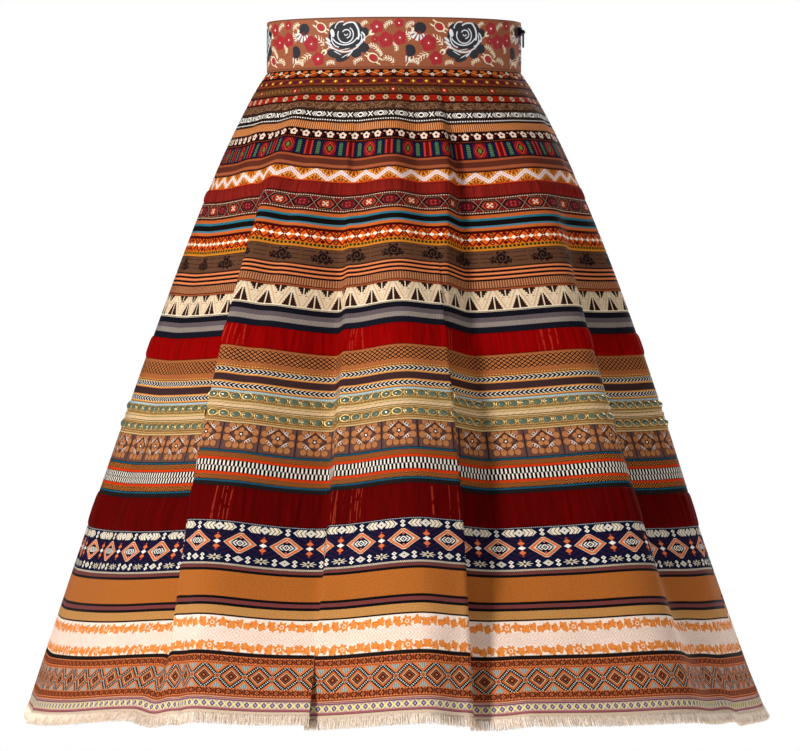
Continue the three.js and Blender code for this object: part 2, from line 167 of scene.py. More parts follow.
class Cloth:
    """The folded cloth along a set of fall lines, one at each angle."""

    def __init__(self, angles):
        self.angles = np.asarray(angles, dtype=float)
        self.stations = np.arange(0, CLOTH_LENGTH + PAST_HEM, FALL_STEP)
        flare, folded = plan(self.angles, self.stations)
        drop = (1 - FOLD_RISE) * self.drops(flare) + FOLD_RISE * self.drops(folded)
        start = np.full((1, len(self.angles)), SEAM_Z)
        self.heights = np.concatenate([start, SEAM_Z - np.cumsum(drop, axis=0)])

    @staticmethod
    def drops(points):
        """Height lost in each step down the fall lines."""
        travel = (np.diff(points, axis=0) ** 2).sum(axis=-1)
        return np.sqrt(np.maximum(FALL_STEP ** 2 - travel, 0.01))

    def points(self, lengths):
        """Points of the cloth's outer face: rows by columns by x, y and z."""
        lengths = np.asarray(lengths, dtype=float)
        place = lengths / FALL_STEP
        index = np.clip(np.floor(place).astype(int), 0, len(self.stations) - 2)
        part = (place - index)[:, None]
        height = self.heights[index] * (1 - part) + self.heights[index + 1] * part
        return np.concatenate([plan(self.angles, lengths)[1], height[..., None]], axis=-1)


def unit(vectors):
    return vectors / np.linalg.norm(vectors, axis=-1, keepdims=True)


class Surface:
    """Points and directions on the cloth at a set of angles: outward, along the ribbon and down."""

    def __init__(self, angles):
        self.cloth = Cloth(angles)
        self.before = Cloth(np.asarray(angles) - ANGLE_STEP)
        self.after = Cloth(np.asarray(angles) + ANGLE_STEP)

    def at(self, lengths):
        lengths = np.asarray(lengths, dtype=float)
        points = self.cloth.points(lengths)
        along = unit(self.after.points(lengths) - self.before.points(lengths))
        down = unit(self.cloth.points(lengths + LENGTH_STEP) - self.cloth.points(lengths - LENGTH_STEP))
        outward = unit(np.cross(down, along))
        return points, outward, along, down


def spread_angles(count):
    """Angles from the side seam all round to it again, evenly spaced along a row in the lower half."""
    fine = np.linspace(SEAM_ANGLE, SEAM_ANGLE + 360, FINE_ANGLES)
    row = plan(fine, np.array([SPREAD_SHARE * CLOTH_LENGTH]))[1][0]
    walked = walk(row)
    return np.interp(np.linspace(0, walked[-1], count), walked, fine)


def close_to_seam(angles, length):
    """The same angles with the two ends drawn half a gap back from the seam."""
    x, y = plan(np.array([SEAM_ANGLE]), np.array([length]))[1][0, 0]
    half = math.degrees(PIECE_GAP / 2 / math.hypot(x, y))
    drawn = angles.copy()
    drawn[0] += half
    drawn[-1] -= half
    return drawn


def walk(points):
    """Length walked along a row of points, at each of them."""
    return np.concatenate([[0], np.cumsum(np.linalg.norm(np.diff(points, axis=0), axis=-1))])


def add_object(name, data):
    added = bpy.data.objects.new(name, data)
    bpy.context.scene.collection.objects.link(added)
    return added


def make_object(name, points, faces, materials, face_slots=None):
    """A piece of the skirt from points in millimetres."""
    mesh = bpy.data.meshes.new(name)
    mesh.from_pydata((points * MM).tolist(), [], faces.tolist() if hasattr(faces, "tolist") else faces)
    for material in materials:
        mesh.materials.append(material)
    if face_slots is not None:
        mesh.polygons.foreach_set("material_index", np.asarray(face_slots, dtype=np.int32))
    mesh.polygons.foreach_set("use_smooth", np.ones(len(mesh.polygons), dtype=bool))
    mesh.update()
    piece = add_object(name, mesh)
    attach(piece, BODY)
    return piece


def grid_faces(rows, columns, first=0, turned=False):
    corner = (np.arange(rows - 1)[:, None] * columns + np.arange(columns - 1)[None, :]).ravel() + first
    quads = np.stack([corner, corner + columns, corner + columns + 1, corner + 1], axis=-1)
    return quads[:, ::-1] if turned else quads


def shell(name, outer, inner, u, v_outer, v_inner, face_material, back_material):
    """A thin closed sheet between two grids, which keeps each point's place on the flat cloth."""
    rows, columns = outer.shape[:2]
    inner_rows = inner.shape[0]
    offset = rows * columns
    points = np.concatenate([outer.reshape(-1, 3), inner.reshape(-1, 3)])
    front = grid_faces(rows, columns)
    back = grid_faces(inner_rows, columns, first=offset, turned=True)
    column = np.arange(columns - 1)
    top = np.stack([column, column + 1, offset + column + 1, offset + column], axis=-1)
    low, low_inner = (rows - 1) * columns + column, offset + (inner_rows - 1) * columns + column
    bottom = np.stack([low, low_inner, low_inner + 1, low + 1], axis=-1)
    ends = []
    for edge, turned in ((0, False), (columns - 1, True)):
        loop = [row * columns + edge for row in range(rows)]
        loop += [offset + row * columns + edge for row in reversed(range(inner_rows))]
        ends.append(loop if turned else loop[::-1])
    faces = [*front.tolist(), *back.tolist(), *top.tolist(), *bottom.tolist(), *ends]
    slots = [0] * len(front) + [1] * len(back) + [0] * (len(top) + len(bottom) + len(ends))
    piece = make_object(name, points, faces, [face_material, back_material], slots)
    piece.data.set_sharp_from_angle(angle=math.radians(SHARP_EDGE))
    along = np.tile(u, rows + inner_rows)
    down = np.repeat(np.concatenate([v_outer, v_inner]), columns)
    layer = piece.data.attributes.new("cloth_mm", "FLOAT_VECTOR", "POINT")
    layer.data.foreach_set("vector", np.stack([along, down, 0 * along], axis=-1).astype(np.float32).ravel())
    return piece


# Shader fields and weaves

def linear(code):
    """An sRGB colour code as linear red, green, blue and alpha."""
    channels = [(code >> shift & 255) / 255 for shift in (16, 8, 0)]
    return (*[c / 12.92 if c <= 0.04045 else ((c + 0.055) / 1.055) ** 2.4 for c in channels], 1)


class Field:
    """A number that varies over the cloth, made of math nodes."""

    def __init__(self, tree, socket):
        self.tree = tree
        self.socket = socket

    def math(self, operation, *others):
        node = self.tree.nodes.new("ShaderNodeMath")
        node.operation = operation
        for slot, value in zip(node.inputs, (self, *others)):
            if isinstance(value, Field):
                self.tree.links.new(value.socket, slot)
            else:
                slot.default_value = value
        return Field(self.tree, node.outputs[0])

    def __add__(self, other):
        return self.math("ADD", other)

    def __sub__(self, other):
        return self.math("SUBTRACT", other)

    def __mul__(self, other):
        return self.math("MULTIPLY", other)

    __and__ = __mul__

    def __or__(self, other):
        return self.math("MAXIMUM", other)

    def __abs__(self):
        return self.math("ABSOLUTE")

    def near(self, middle, reach):
        """1 within this reach of the middle, and 0 past it."""
        return self.math("COMPARE", middle, reach)

    def below(self, limit):
        return self.math("LESS_THAN", limit)

    def above(self, limit):
        return self.math("GREATER_THAN", limit)

    def repeat(self, period, shift=0):
        """Place in the nearest repeat, from minus half a period to half a period, once moved by the shift."""
        moved = self + shift if shift else self
        return moved.math("WRAP", period / 2, -period / 2)

    def wave(self, length, form="SINE"):
        """A wave of this length, from -1 to 1."""
        return (self * (2 * math.pi / length)).math(form)

    def cell(self, period):
        """Number of the repeat."""
        return (self * (1 / period) + 0.5).math("FLOOR")

    def peak(self, period, height):
        """A triangle wave that rises from 0 to height and falls again in each period."""
        return self.math("PINGPONG", period / 2) * (2 * height / period)

    def random(self, seed=0.0):
        """A fixed random number from 0 to 1 for each whole number."""
        node = self.tree.nodes.new("ShaderNodeTexWhiteNoise")
        node.noise_dimensions = "1D"
        self.tree.links.new((self + seed).socket, node.inputs["W"])
        return Field(self.tree, node.outputs["Value"])


def diamond(a, b, wide, high):
    return (abs(a) * (1 / wide) + abs(b) * (1 / high)).below(1)


def oval(a, b, wide, high):
    return (a * a * (1 / wide ** 2) + b * b * (1 / high ** 2)).below(1)


def bar(a, b, wide, high):
    return a.near(0, wide) & b.near(0, high)


def reach_of(a, b):
    return (a * a + b * b).math("SQRT")


def angle_of(a, b):
    return b.math("ARCTAN2", a)


def rays(a, b, count, limit):
    """A count of rays about the place where a and b are zero."""
    return (angle_of(a, b) * count).math("SINE").above(limit)


def flower(a, b, reach, petals, depth=0.22, turn=0.0):
    """A flower of round petals about the place where a and b are zero."""
    petal = ((angle_of(a, b) + turn) * petals).math("COSINE") * depth
    return (reach_of(a, b) * (1 / reach) - petal).below(1 - depth)


def round_petals(a, b, reach, petals, turn=0.0, share=0.42):
    """A flower of separate round petals, each this share of the flower's reach in radius."""
    far = reach_of(a, b)
    part = (angle_of(a, b) + turn).repeat(2 * math.pi / petals)
    middle = reach * (1 - share)
    return (far * far + part.math("COSINE") * far * (-2 * middle) + middle ** 2).below((reach * share) ** 2)


def put(node, **values):
    """Sets inputs of a node, named with _ for each space."""
    for name, value in values.items():
        node.inputs[name.replace("_", " ")].default_value = value


def new_material(name):
    material = bpy.data.materials.new(name)
    material.use_nodes = True
    return material, material.node_tree, material.node_tree.nodes["Principled BSDF"]


class Weave:
    """A fabric whose pattern is laid on in layers, in millimetres along the cloth and down from its top edge.

    Off the cloth, its places are the object's own, in metres.
    """

    def __init__(self, name, ground, roughness=0.78, sheen=0.0, specular=0.06, metallic=0.0, on_cloth=True):
        self.material, self.tree, self.shader = new_material(name)
        put(self.shader, Roughness=roughness, Metallic=metallic, Specular_IOR_Level=specular,
            Sheen_Weight=sheen, Sheen_Roughness=0.5)
        if on_cloth:
            place = self.tree.nodes.new("ShaderNodeAttribute")
            place.attribute_name = "cloth_mm"
            self.place = place.outputs["Vector"]
        else:
            self.place = self.tree.nodes.new("ShaderNodeTexCoord").outputs["Object"]
        parts = self.tree.nodes.new("ShaderNodeSeparateXYZ")
        self.tree.links.new(self.place, parts.inputs[0])
        self.u = Field(self.tree, parts.outputs[0])
        self.v = Field(self.tree, parts.outputs[1])
        self.ground = linear(ground)
        self.colour = None
        self.height = None

    def feed(self, slot, value):
        """Gives an input a field, another node's output or a plain value."""
        if isinstance(value, Field):
            value = value.socket
        if isinstance(value, bpy.types.NodeSocket):
            self.tree.links.new(value, slot)
        else:
            slot.default_value = value

    def mix(self, factor, colour, blend="MIX"):
        node = self.tree.nodes.new("ShaderNodeMix")
        node.data_type = "RGBA"
        node.blend_type = blend
        self.feed(node.inputs["Factor"], factor)
        self.feed(node.inputs[6], self.ground if self.colour is None else self.colour)
        self.feed(node.inputs[7], colour)
        self.colour = node.outputs[2]

    def lay(self, mask, colour, raised=0.0):
        """Lays a colour on where the mask is 1, raised by some millimetres."""
        self.mix(mask, linear(colour))
        if raised:
            self.raise_by(mask * raised)

    def raise_by(self, height):
        self.height = height if self.height is None else self.height + height

    def stripe(self, top, bottom, colour, raised=0.0):
        self.lay(self.v.near((top + bottom) / 2, (bottom - top) / 2), colour, raised)

    def stripes(self, *parts):
        for part in parts:
            self.stripe(*part)

    def nest(self, form, a, b, *parts):
        """Forms about the same middle, each a width, a height, a colour and any rise."""
        for wide, high, *look in parts:
            self.lay(form(a, b, wide, high), *look)

    def noise(self, along, down, detail=2.0):
        """Soft noise from 0 to 1, with patches of these sizes."""
        scale = self.tree.nodes.new("ShaderNodeVectorMath")
        scale.operation = "MULTIPLY"
        scale.inputs[1].default_value = (1 / along, 1 / down, 1 / along)
        self.tree.links.new(self.place, scale.inputs[0])
        node = self.tree.nodes.new("ShaderNodeTexNoise")
        put(node, Scale=1, Detail=detail)
        self.tree.links.new(scale.outputs[0], node.inputs["Vector"])
        return Field(self.tree, node.outputs["Fac"])

    def shade(self, field, low, high):
        """Darkens or lightens the colours by a field that goes from 0 to 1."""
        self.mix(1.0, field * (high - low) + low, "MULTIPLY")

    def threads(self, thread=0.8, relief=0.05):
        """Fine crossing threads, and the uneven dye of a woven cloth."""
        crossing = self.u.wave(thread) * self.v.wave(thread) * 0.5 + 0.5
        self.shade(crossing, 0.84, 1.1)
        self.shade(self.noise(1.5, 1.5), 0.6, 1.34)
        self.shade(self.noise(28, 18), 0.88, 1.1)
        self.raise_by(crossing * relief)

    def seam_shade(self, width):
        """Painted shade: a darker line along both long edges, in the stitched grooves where the ribbons meet.
        """
        seam_shade_mask = self.v.near(0, 0.45) | self.v.near(width, 0.45)
        self.mix(seam_shade_mask * 0.55, linear(0x1C100C))

    def finish(self, depth=1.0):
        self.tree.links.new(self.colour, self.shader.inputs["Base Color"])
        bump = self.tree.nodes.new("ShaderNodeBump")
        put(bump, Strength=1, Distance=depth * MM)
        self.tree.links.new(self.height.socket, bump.inputs["Height"])
        self.tree.links.new(bump.outputs[0], self.shader.inputs["Normal"])
        return self.material


# Patterns of the ribbons: w is the weave, u and v are millimetres along the ribbon and down from its top edge

PATTERNS = {}


def pattern(ground):
    """Keeps a pattern under its ribbon's name, with the colour of its ground."""
    def keep(draw):
        PATTERNS[draw.__name__] = (draw, ground)
        return draw
    return keep


@pattern(0x200703)
def floral_vine(w, u, v):
    a = u.repeat(27)
    vine = u.wave(27, "COSINE") * -1.9 + 5.4
    w.lay(oval(abs(a) - 6.5, v - 7.3, 4.6, 2.4), 0x933208)
    w.lay(oval(abs(a) - 8.6, v - 2.9, 3.2, 1.8), 0xC55C1C)
    w.lay((v - vine).near(0, 0.55) & abs(a).near(6.8, 4.2), 0xDD9555)
    w.lay(round_petals(a, v - 3.4, 2.6, 5), 0xE7D2C2, 0.15)
    w.lay(round_petals(u.repeat(27, 13.5), v - 7.6, 2.4, 5), 0xD8BFA8, 0.15)
    w.lay(reach_of(a, v - 3.4).below(0.7), 0x934A29)


@pattern(0x6B2F15)
def star_dots(w, u, v):
    a, b = u.repeat(13.8), v - 6
    w.stripes((0, 1.3, 0x4B1812), (10.7, 12, 0x4B1812))
    w.lay(diamond(a, b, 6.6, 5.0), 0x843F1B)
    w.lay(oval(a, b, 4.2, 3.1), 0x561623)
    s = u.repeat(13.8, 6.9)
    w.lay((abs(s).math("SQRT") * 0.56 + abs(b).math("SQRT") * 0.52).below(1), 0xE7971E, 0.15)
    w.lay(oval(s, b, 1.0, 1.2), 0xFFD045)


@pattern(0x59321D)
def olive_sprig(w, u, v):
    a, b = u.repeat(55), v - 5.6
    w.stripes((0, 0.9, 0x391D12), (10.2, 11.3, 0x391D12))
    vine = u.wave(11) * 1.2
    w.lay((b - vine).near(0, 0.35), 0x8B622D)
    leaf = (u - b * 0.7).repeat(5.5)
    w.lay(oval(leaf, b, 0.75, 2.8), 0x896029)
    w.lay(oval(a, b, 4.8, 4.1), 0x4F2C19)
    w.lay(round_petals(a, b, 3.2, 5), 0xB22C1D, 0.15)
    w.lay(oval(a, b, 0.9, 0.9), 0xF6E2D0)


@pattern(0x430702)
def red_rosettes(w, u, v):
    a, b = u.repeat(14.4), v - 4.6
    w.nest(bar, a, b, (4.1, 3.3, 0x9C1D06), (4.1, 0.35, 0x670902))
    r = u.repeat(14.4, 7.2)
    w.lay(round_petals(r, b, 3.4, 6, share=0.36), 0xC1A385, 0.15)
    w.lay(reach_of(r, b).below(0.8), 0x5E2516)


@pattern(0x5B3B28)
def brown_fleck(w, u, v):
    cell = u.cell(0.9) + v.cell(0.9) * 71
    w.lay(cell.random(3).above(0.7), 0x926B4E)
    w.lay(cell.random(9).above(0.8), 0x331B11)
    w.stripes((0, 0.8, 0x331B11), (9.4, 10.2, 0x29130B))


@pattern(0x201311)
def black_leaf(w, u, v):
    a, b = u.repeat(22.3), v - 5.6
    m = u.repeat(22.3, 11.15)
    row = abs(b).below(2.9)
    w.lay((abs(a) - abs(b) * 0.8).near(0, 0.75) & row, 0xFBF4EA, 0.15)
    size = abs(m) + abs(b) * 0.9
    for limit in (8.0, 6.0, 4.0):
        w.lay(size.below(limit) & row, 0xFBF4EA)
        w.lay(size.below(limit - 0.9) & size.above(4.0) & row, 0x140B0A)
    w.lay(oval(m, b, 2.2, 1.5), 0x140B0A)
    w.lay(oval(u.repeat(2.6), v - 12.7, 0.8, 0.8), 0xFBF4EA, 0.2)
    w.stripes((0, 0.9, 0x5A3727), (14.4, 15.2, 0x4A291D))


@pattern(0xCC7B41)
def orange_rib(w, u, v):
    place = u.repeat(2.3)
    # Darker gaps between the ribs and a paler line on each rib's crest: painted shade and painted highlight
    w.lay(abs(place).above(0.75), 0x703B20)
    w.lay(place.near(0, 0.3), 0xE19861)
    w.raise_by((u.wave(2.3, "COSINE") * 0.5 + 0.5) * 0.35)
    w.stripes((0, 0.8, 0x4E241C), (9.4, 10.2, 0x5F2B1E))


@pattern(0x120000)
def white_flowers(w, u, v):
    a, b = u.repeat(13), v - 5.2
    between = u.repeat(13, 6.5)
    w.lay(oval(between - 0.9, b + 2.4, 1.3, 0.9), 0xD69980)
    w.lay(oval(between + 1.2, b - 1.2, 1.0, 1.5), 0x5A0100)
    w.lay(round_petals(a, b, 4.1, 5, 0.3), 0xEBCDBA, 0.25)
    w.lay(reach_of(a, b).below(1.25), 0x0F0000)
    w.lay(oval(u.repeat(2.3), v - 11.0, 0.55, 0.5), 0xAC4420)


@pattern(0x0E1038)
def totem_blocks(w, u, v):
    a, b = u.repeat(44), v - 9.4
    edge = u.repeat(44, 22)
    side = abs(a) - 10.2
    row = abs(b).below(7.6)
    w.lay(oval(side + 0.6, b, 3.6, 8.6), 0x0C1C1E)
    bones = (v + abs(side) * 0.9).repeat(2.6).near(0, 0.6)
    w.lay(bones & side.near(0, 1.9) & row, 0x64885A)
    w.lay(side.near(0, 0.35) & row, 0x3E5E44)
    w.lay(abs(a).near(0, 4.4), 0x5E060A)
    w.lay(abs(a).near(2.9, 0.9), 0xB83220)
    w.lay(abs(edge).below(6.6), 0x5C0712)
    size = abs(edge) * (1 / 5.8) + abs(b) * (1 / 8.2)
    w.lay(size.near(1.3, 0.14) & abs(edge).below(6.6), 0xA01E1E)
    w.lay(size.near(0.86, 0.1), 0xBC4624)
    w.lay(diamond(edge, b, 3.4, 5.0), 0x44200F)
    w.lay(oval(edge, b, 1.7, 2.8), 0x5C7838)
    w.stripes((0, 0.8, 0x050616), (17.6, 18.8, 0x050516))


@pattern(0x713728)
def brown_stripe(w, u, v):
    w.stripes((0, 3.0, 0x9E4D2C), (3.0, 9.5, 0x5C291B), (9.5, 12.8, 0x9F5333), (12.8, 14.2, 0x612C1E))
    w.raise_by(v.repeat(3.2).near(0, 0.5) * 0.2)


@pattern(0xC86E21)
def white_zigzag(w, u, v):
    side = v - u.peak(27, 9.4) - 3.0
    for shift, middle in ((0, 16.5), (13.5, -1.5)):
        p, q = u.repeat(27, shift), v - middle
        w.lay(rays(p, q, 9, 0.1) & reach_of(p, q).near(5.6, 4.0), 0x7A360C)
        w.lay(oval(p, q, 2.2, 3.4), 0xA4470C)
    w.lay(oval(abs(side) - 4.6, u.repeat(2.7), 0.9, 0.8), 0xF0AC4F)
    lace = abs(u.wave(3.8)) * 0.9 + 2.2
    w.lay((abs(side) - lace).below(0), 0xF4DCD6, 0.35)
    w.lay(oval(u.repeat(1.9), side, 0.5, 0.8), 0xB47274)
    w.lay(oval(u.repeat(1.9, 0.95), abs(side) - 1.8, 0.35, 0.45), 0xA56065)
    w.stripes((0, 1.0, 0x39120B), (14.2, 15.7, 0xCD4113))


@pattern(0x39100C)
def medallions(w, u, v):
    a, b = u.repeat(24.5), v - 10.1
    edge = u.repeat(24.5, 12.25)
    odd = abs(u.cell(24.5).math("MODULO", 2))
    w.lay(diamond(edge, abs(b) - 6.6, 5.0, 3.6) & abs(b).below(6.6), 0x721714)
    w.lay((abs(edge) - abs(b) * 0.8).near(0, 0.4) & abs(b).below(6.6), 0x9E7863)
    size = abs(a) * (1 / 12.4) + abs(b) * (1 / 13.5)
    row = abs(b).below(5.9)
    w.lay(size.below(1.04) & row, 0x9E7863)
    w.lay(size.below(0.98) & abs(b).below(5.6), 0x200807)
    inner = size.below(0.76) & abs(b).below(4.2)
    w.lay(inner, 0x6A111C)
    w.lay(inner & odd, 0xA5361F)
    w.lay(oval(abs(a) - 6.2, b, 1.0, 0.9), 0xAB6C6B)
    w.lay(size.near(0.5, 0.06) & abs(b).below(3.6), 0x3E0A0C)
    w.lay(oval(abs(a) - 2.2, abs(b) - 1.7, 1.3, 0.9), 0xA9382B)
    w.lay(oval(abs(a) - 2.2, abs(b) - 1.7, 1.3, 0.9) & odd, 0xE9BE9C)
    w.lay(oval(a, b, 1.5, 1.1) & odd, 0xF4DFC9)
    w.lay(oval(a, b, 0.6, 0.5), 0x2F0908)
    for middle in (2.3, 17.9):
        w.lay(oval(u.repeat(2.6), v - middle, 0.85, 0.6), 0xDAB89C)


@pattern(0x130A05)
def teal_stripe(w, u, v):
    w.stripes((0, 4.2, 0xB95C27), (4.2, 6.8, 0x256B7D), (6.8, 12.6, 0x0E0705), (12.6, 14.7, 0x44768A),
              (14.7, 18.2, 0xC15E27))


@pattern(0xD65D13)
def red_lattice(w, u, v):
    b = v - 9.6
    field = v.near(9.9, 7.0)
    w.lay(v.below(2.9), 0x3F0102)
    for slope in (0.95, -0.95):
        w.lay((u + b * slope).repeat(13.8).near(0, 1.2) & field, 0x660402)
    a, half = u.repeat(27.6), u.repeat(27.6, 13.8)
    for place in (a, half):
        w.lay(diamond(place, abs(b) - 5.0, 3.0, 2.6) & field, 0x540202)
    w.lay(diamond(half, abs(b) - 5.0, 1.2, 1.0) & field, 0xDB822B)
    w.lay(diamond(u.repeat(9.2), b, 3.3, 2.2), 0xF8EBD8, 0.2)
    w.lay(oval(u.repeat(9.2, 4.6), b, 0.9, 0.9), 0xEFD5B1)
    w.lay(v.near(18.9, 1.9), 0xB67417)
    w.lay(bar(u.repeat(4.3), v - 18.9, 1.3, 1.25), 0x0A1E09)
    w.lay(v.near(21.8, 1.0), 0xC67826)


@pattern(0x5C3C29)
def black_flowers(w, u, v):
    for middle, reach in ((3.4, 0.4), (8.6, 0.35), (13.0, 0.45)):
        w.lay(v.near(middle, reach) & u.repeat(17).near(0, 7.2), 0x331B15)
    a = u.repeat(44)
    blooms = ((2, 9, 8.6, 6, 0.0), (-7, 11, 4.6, 5, 0.4), (9.5, 12, 3.6, 5, 0.2))
    for x, y, reach, petals, turn in blooms:
        w.lay(flower(a - x, v - y, reach, petals, 0.2, turn), 0x1A0A0A, 0.2)
    for x, y, reach, petals, turn in blooms:
        swirl = (reach_of(a - x, v - y) * 1.7 + angle_of(a - x, v - y)).math("SINE")
        w.lay(swirl.above(0.82) & flower(a - x, v - y, reach - 1.0, petals, 0.2, turn), 0x5B3D2B)
    w.stripe(18, 19.2, 0x41231A)


@pattern(0x76351C)
def orange_lines(w, u, v):
    w.stripe(0, 14.6, 0x170A0B)
    for top, bottom in ((0.6, 3.0), (5.3, 7.8), (10.1, 12.6)):
        w.stripe(top, bottom, 0xD17242, 0.3)
        w.stripe(top + 0.8, top + 1.3, 0xDF8D5E)
    w.stripe(14.6, 22.5, 0x7A4024)
    w.lay(v.near(18.5, 3.9) & u.repeat(2.7).near(0, 0.55), 0xBA825B, 0.25)
    w.stripes((22.5, 23.6, 0x522616), (23.6, 25.3, 0x9C4A26))


@pattern(0xE1CDAF)
def cream_peaks(w, u, v):
    a, side = abs(u.repeat(25.5)), abs(u.repeat(25.5, 12.75))
    step = (v * (1 / 2.4)).math("FLOOR") * 2.4
    w.lay((a - step * 0.47).near(2.2, 1.1) & v.below(20.8), 0xCDAA87)
    w.lay((a - step * 0.47).near(5.6, 0.6) & v.below(20.8), 0xD4B692)
    w.lay((a - step * 0.47).below(-1.4) & a.above(0.7) & step.near(12.5, 7.5), 0x2E160E, 0.15)
    w.lay((side + step * 0.8).below(6.5) & side.above(0.6), 0x2E160E, 0.15)
    w.lay(v.near(9.0, 0.45) & side.near(3.4, 1.6), 0xB87850)
    w.stripe(21.4, 22.8, 0xECDCC0)


@pattern(0x161A2B)
def grey_navy(w, u, v):
    w.stripes((0, 1.0, 0xD5BFA3), (1.0, 6.2, 0x0F0F1B), (6.2, 7.0, 0x060508), (7.0, 12.2, 0x605458),
              (12.2, 17.6, 0x8E827B), (17.6, 18.3, 0x221F27), (18.3, 24.2, 0x10121E))
    w.raise_by(u.repeat(1.7).near(0, 0.45) * 0.2)
    w.shade(u.repeat(1.7).near(0, 0.4), 0.82, 1.08)


@pattern(0xA05C32)
def honeycomb(w, u, v):
    place, row = u.repeat(6.1), (v - 5.2).repeat(4.5)
    size = abs(place) * (1 / 3.05) + abs(row) * (1 / 2.25)
    zone = v.near(9.7, 6.8)
    w.lay(zone, 0xC87C44)
    w.lay(size.near(1, 0.33) & zone, 0x2B0E0E, -0.2)
    w.lay((size.below(0.3) | size.above(1.7)) & zone, 0x843E22)
    w.lay(oval(u.repeat(3.1), v - 21.9, 0.6, 0.45), 0xEFBC59)


@pattern(0xC9813F)
def chevrons(w, u, v):
    for middle, slant in ((3.9, 1.6), (20.4, -1.6)):
        b = v - middle
        row = b.near(0, 2.5)
        w.lay(row, 0x161418)
        w.lay((u + abs(b) * slant).repeat(4.9).near(0, 0.7) & row, 0xF1EAE0, 0.2)
        w.lay(abs(b).near(2.9, 0.4), 0xE1A75F)
    w.stripe(8.4, 16.0, 0x2D1B1F)
    w.lay((u + v * 0.8).repeat(2.1).near(0, 0.35) & v.near(12.2, 3.8), 0x4D3331)


def braid_ground(w, u, v, width):
    """Gold ribbed lace under the beads: dark slots, upright gold threads, and a cord along both edges."""
    w.lay(u.repeat(1.7).near(0, 0.42) & (v - width / 2 + 0.4).near(0, width / 2 - 1.8), 0x4E3018, -0.25)
    w.lay(v.repeat(2.6).near(0, 0.3), 0xD8B070, 0.2)
    w.lay(v.near(0.6, 0.6) | v.near(width - 0.6, 0.6), 0xE0C48C, 0.2)


@pattern(0xB69054)
def beads_upper(w, u, v):
    braid_ground(w, u, v, 15)
    w.stripe(0, 2.9, 0xBBCDCC, 0.2)
    w.lay(u.repeat(2.4).near(0, 0.35) & v.below(2.9), 0x95AAAE)


@pattern(0xD7B58A)
def gold_cord(w, u, v):
    twist = (u * 0.9 + v * 1.4).math("SINE") * 0.5 + 0.5
    w.shade(twist, 0.86, 1.08)
    w.raise_by(twist * 0.2)


@pattern(0xB0844F)
def beads_lower(w, u, v):
    braid_ground(w, u, v, 16.5)


@pattern(0x5B3F3A)
def quatrefoils(w, u, v):
    a, b = u.repeat(38.5), v - 12
    x, y = abs(a), abs(b)
    w.lay(u.repeat(3.2).near(0, 0.5), 0x694A46)
    lobes = ((14.4, -3.5, 4.0), (14.4, 4.6, 4.1), (10.8, 12.1, 3.9), (3.6, 12.5, 3.7), (10.8, -9.6, 3.9),
             (3.6, -9.8, 3.7))
    w.lay(bar(x, b - 1.2, 11.5, 10.5), 0x955C3C, 0.2)
    for across, down, size in lobes:
        far = reach_of(x - across, b - down)
        w.lay(far.below(size), 0xAD7044, 0.2)
        w.lay(far.near(size - 0.3, 0.3), 0x633822)
    w.nest(diamond, a, b, (12.4, 10.4, 0x2E1B17), (10.8, 8.9, 0x5F4038))
    w.lay(round_petals(a, b, 7.4, 5, 0.5 * math.pi, 0.36), 0xB67648, 0.2)
    w.lay(round_petals(a, b, 3.0, 5, 0.3 * math.pi, 0.3) | reach_of(a, b).below(1.8), 0x29130D)
    w.lay(reach_of(a, b).below(1.1), 0xFBF1E9, 0.3)
    along, outwards = (x - 8.2) * 0.78 - (y - 6.4) * 0.62, (x - 8.2) * 0.62 + (y - 6.4) * 0.78
    w.lay(oval(along, outwards, 4.4, 1.7), 0xD8C4BA, 0.25)
    w.lay(oval(along.repeat(2.7), outwards - 0.4, 0.85, 1.05) & along.near(0, 4.1), 0x3F241B)
    w.lay(u.repeat(38.5, 19.25).near(0, 0.6), 0x261715)


@pattern(0x130502)
def checks(w, u, v):
    w.stripes((0, 2.8, 0x010208), (32.4, 35, 0x010208))
    w.lay(u.repeat(2.0).near(0, 0.42) & (v.near(1.4, 0.9) | v.near(33.8, 0.9)), 0x227595)
    for top in (2.8, 26.8):
        zone = v.near(top + 2.7, 2.7)
        w.lay(zone, 0x070100)
        w.lay((v - u.peak(11, 4.6)).repeat(2.6).near(0, 0.5) & zone, 0xCF7936, 0.15)
    w.stripes((8.2, 11, 0xC23309), (24, 26.8, 0xC23309), (11, 24, 0x010001))
    w.lay(u.repeat(4.3).near(0, 0.95) & v.near(14.4, 2.9), 0xE6DBCF)
    w.lay(u.repeat(4.3, 2.15).near(0, 0.95) & v.near(20.6, 2.9), 0xE6DBCF)
    w.stripe(35, 39, 0x110D0E)
    w.lay(u.repeat(1.7).near(0, 0.35) & v.above(35), 0x241E1E)


def eight(w, a, b):
    """Two small diamonds, one over the other."""
    w.nest(diamond, a, abs(b) - 2.0, (3.0, 2.2, 0xF0E6D6, 0.15), (1.0, 0.7, 0x1C1A30))


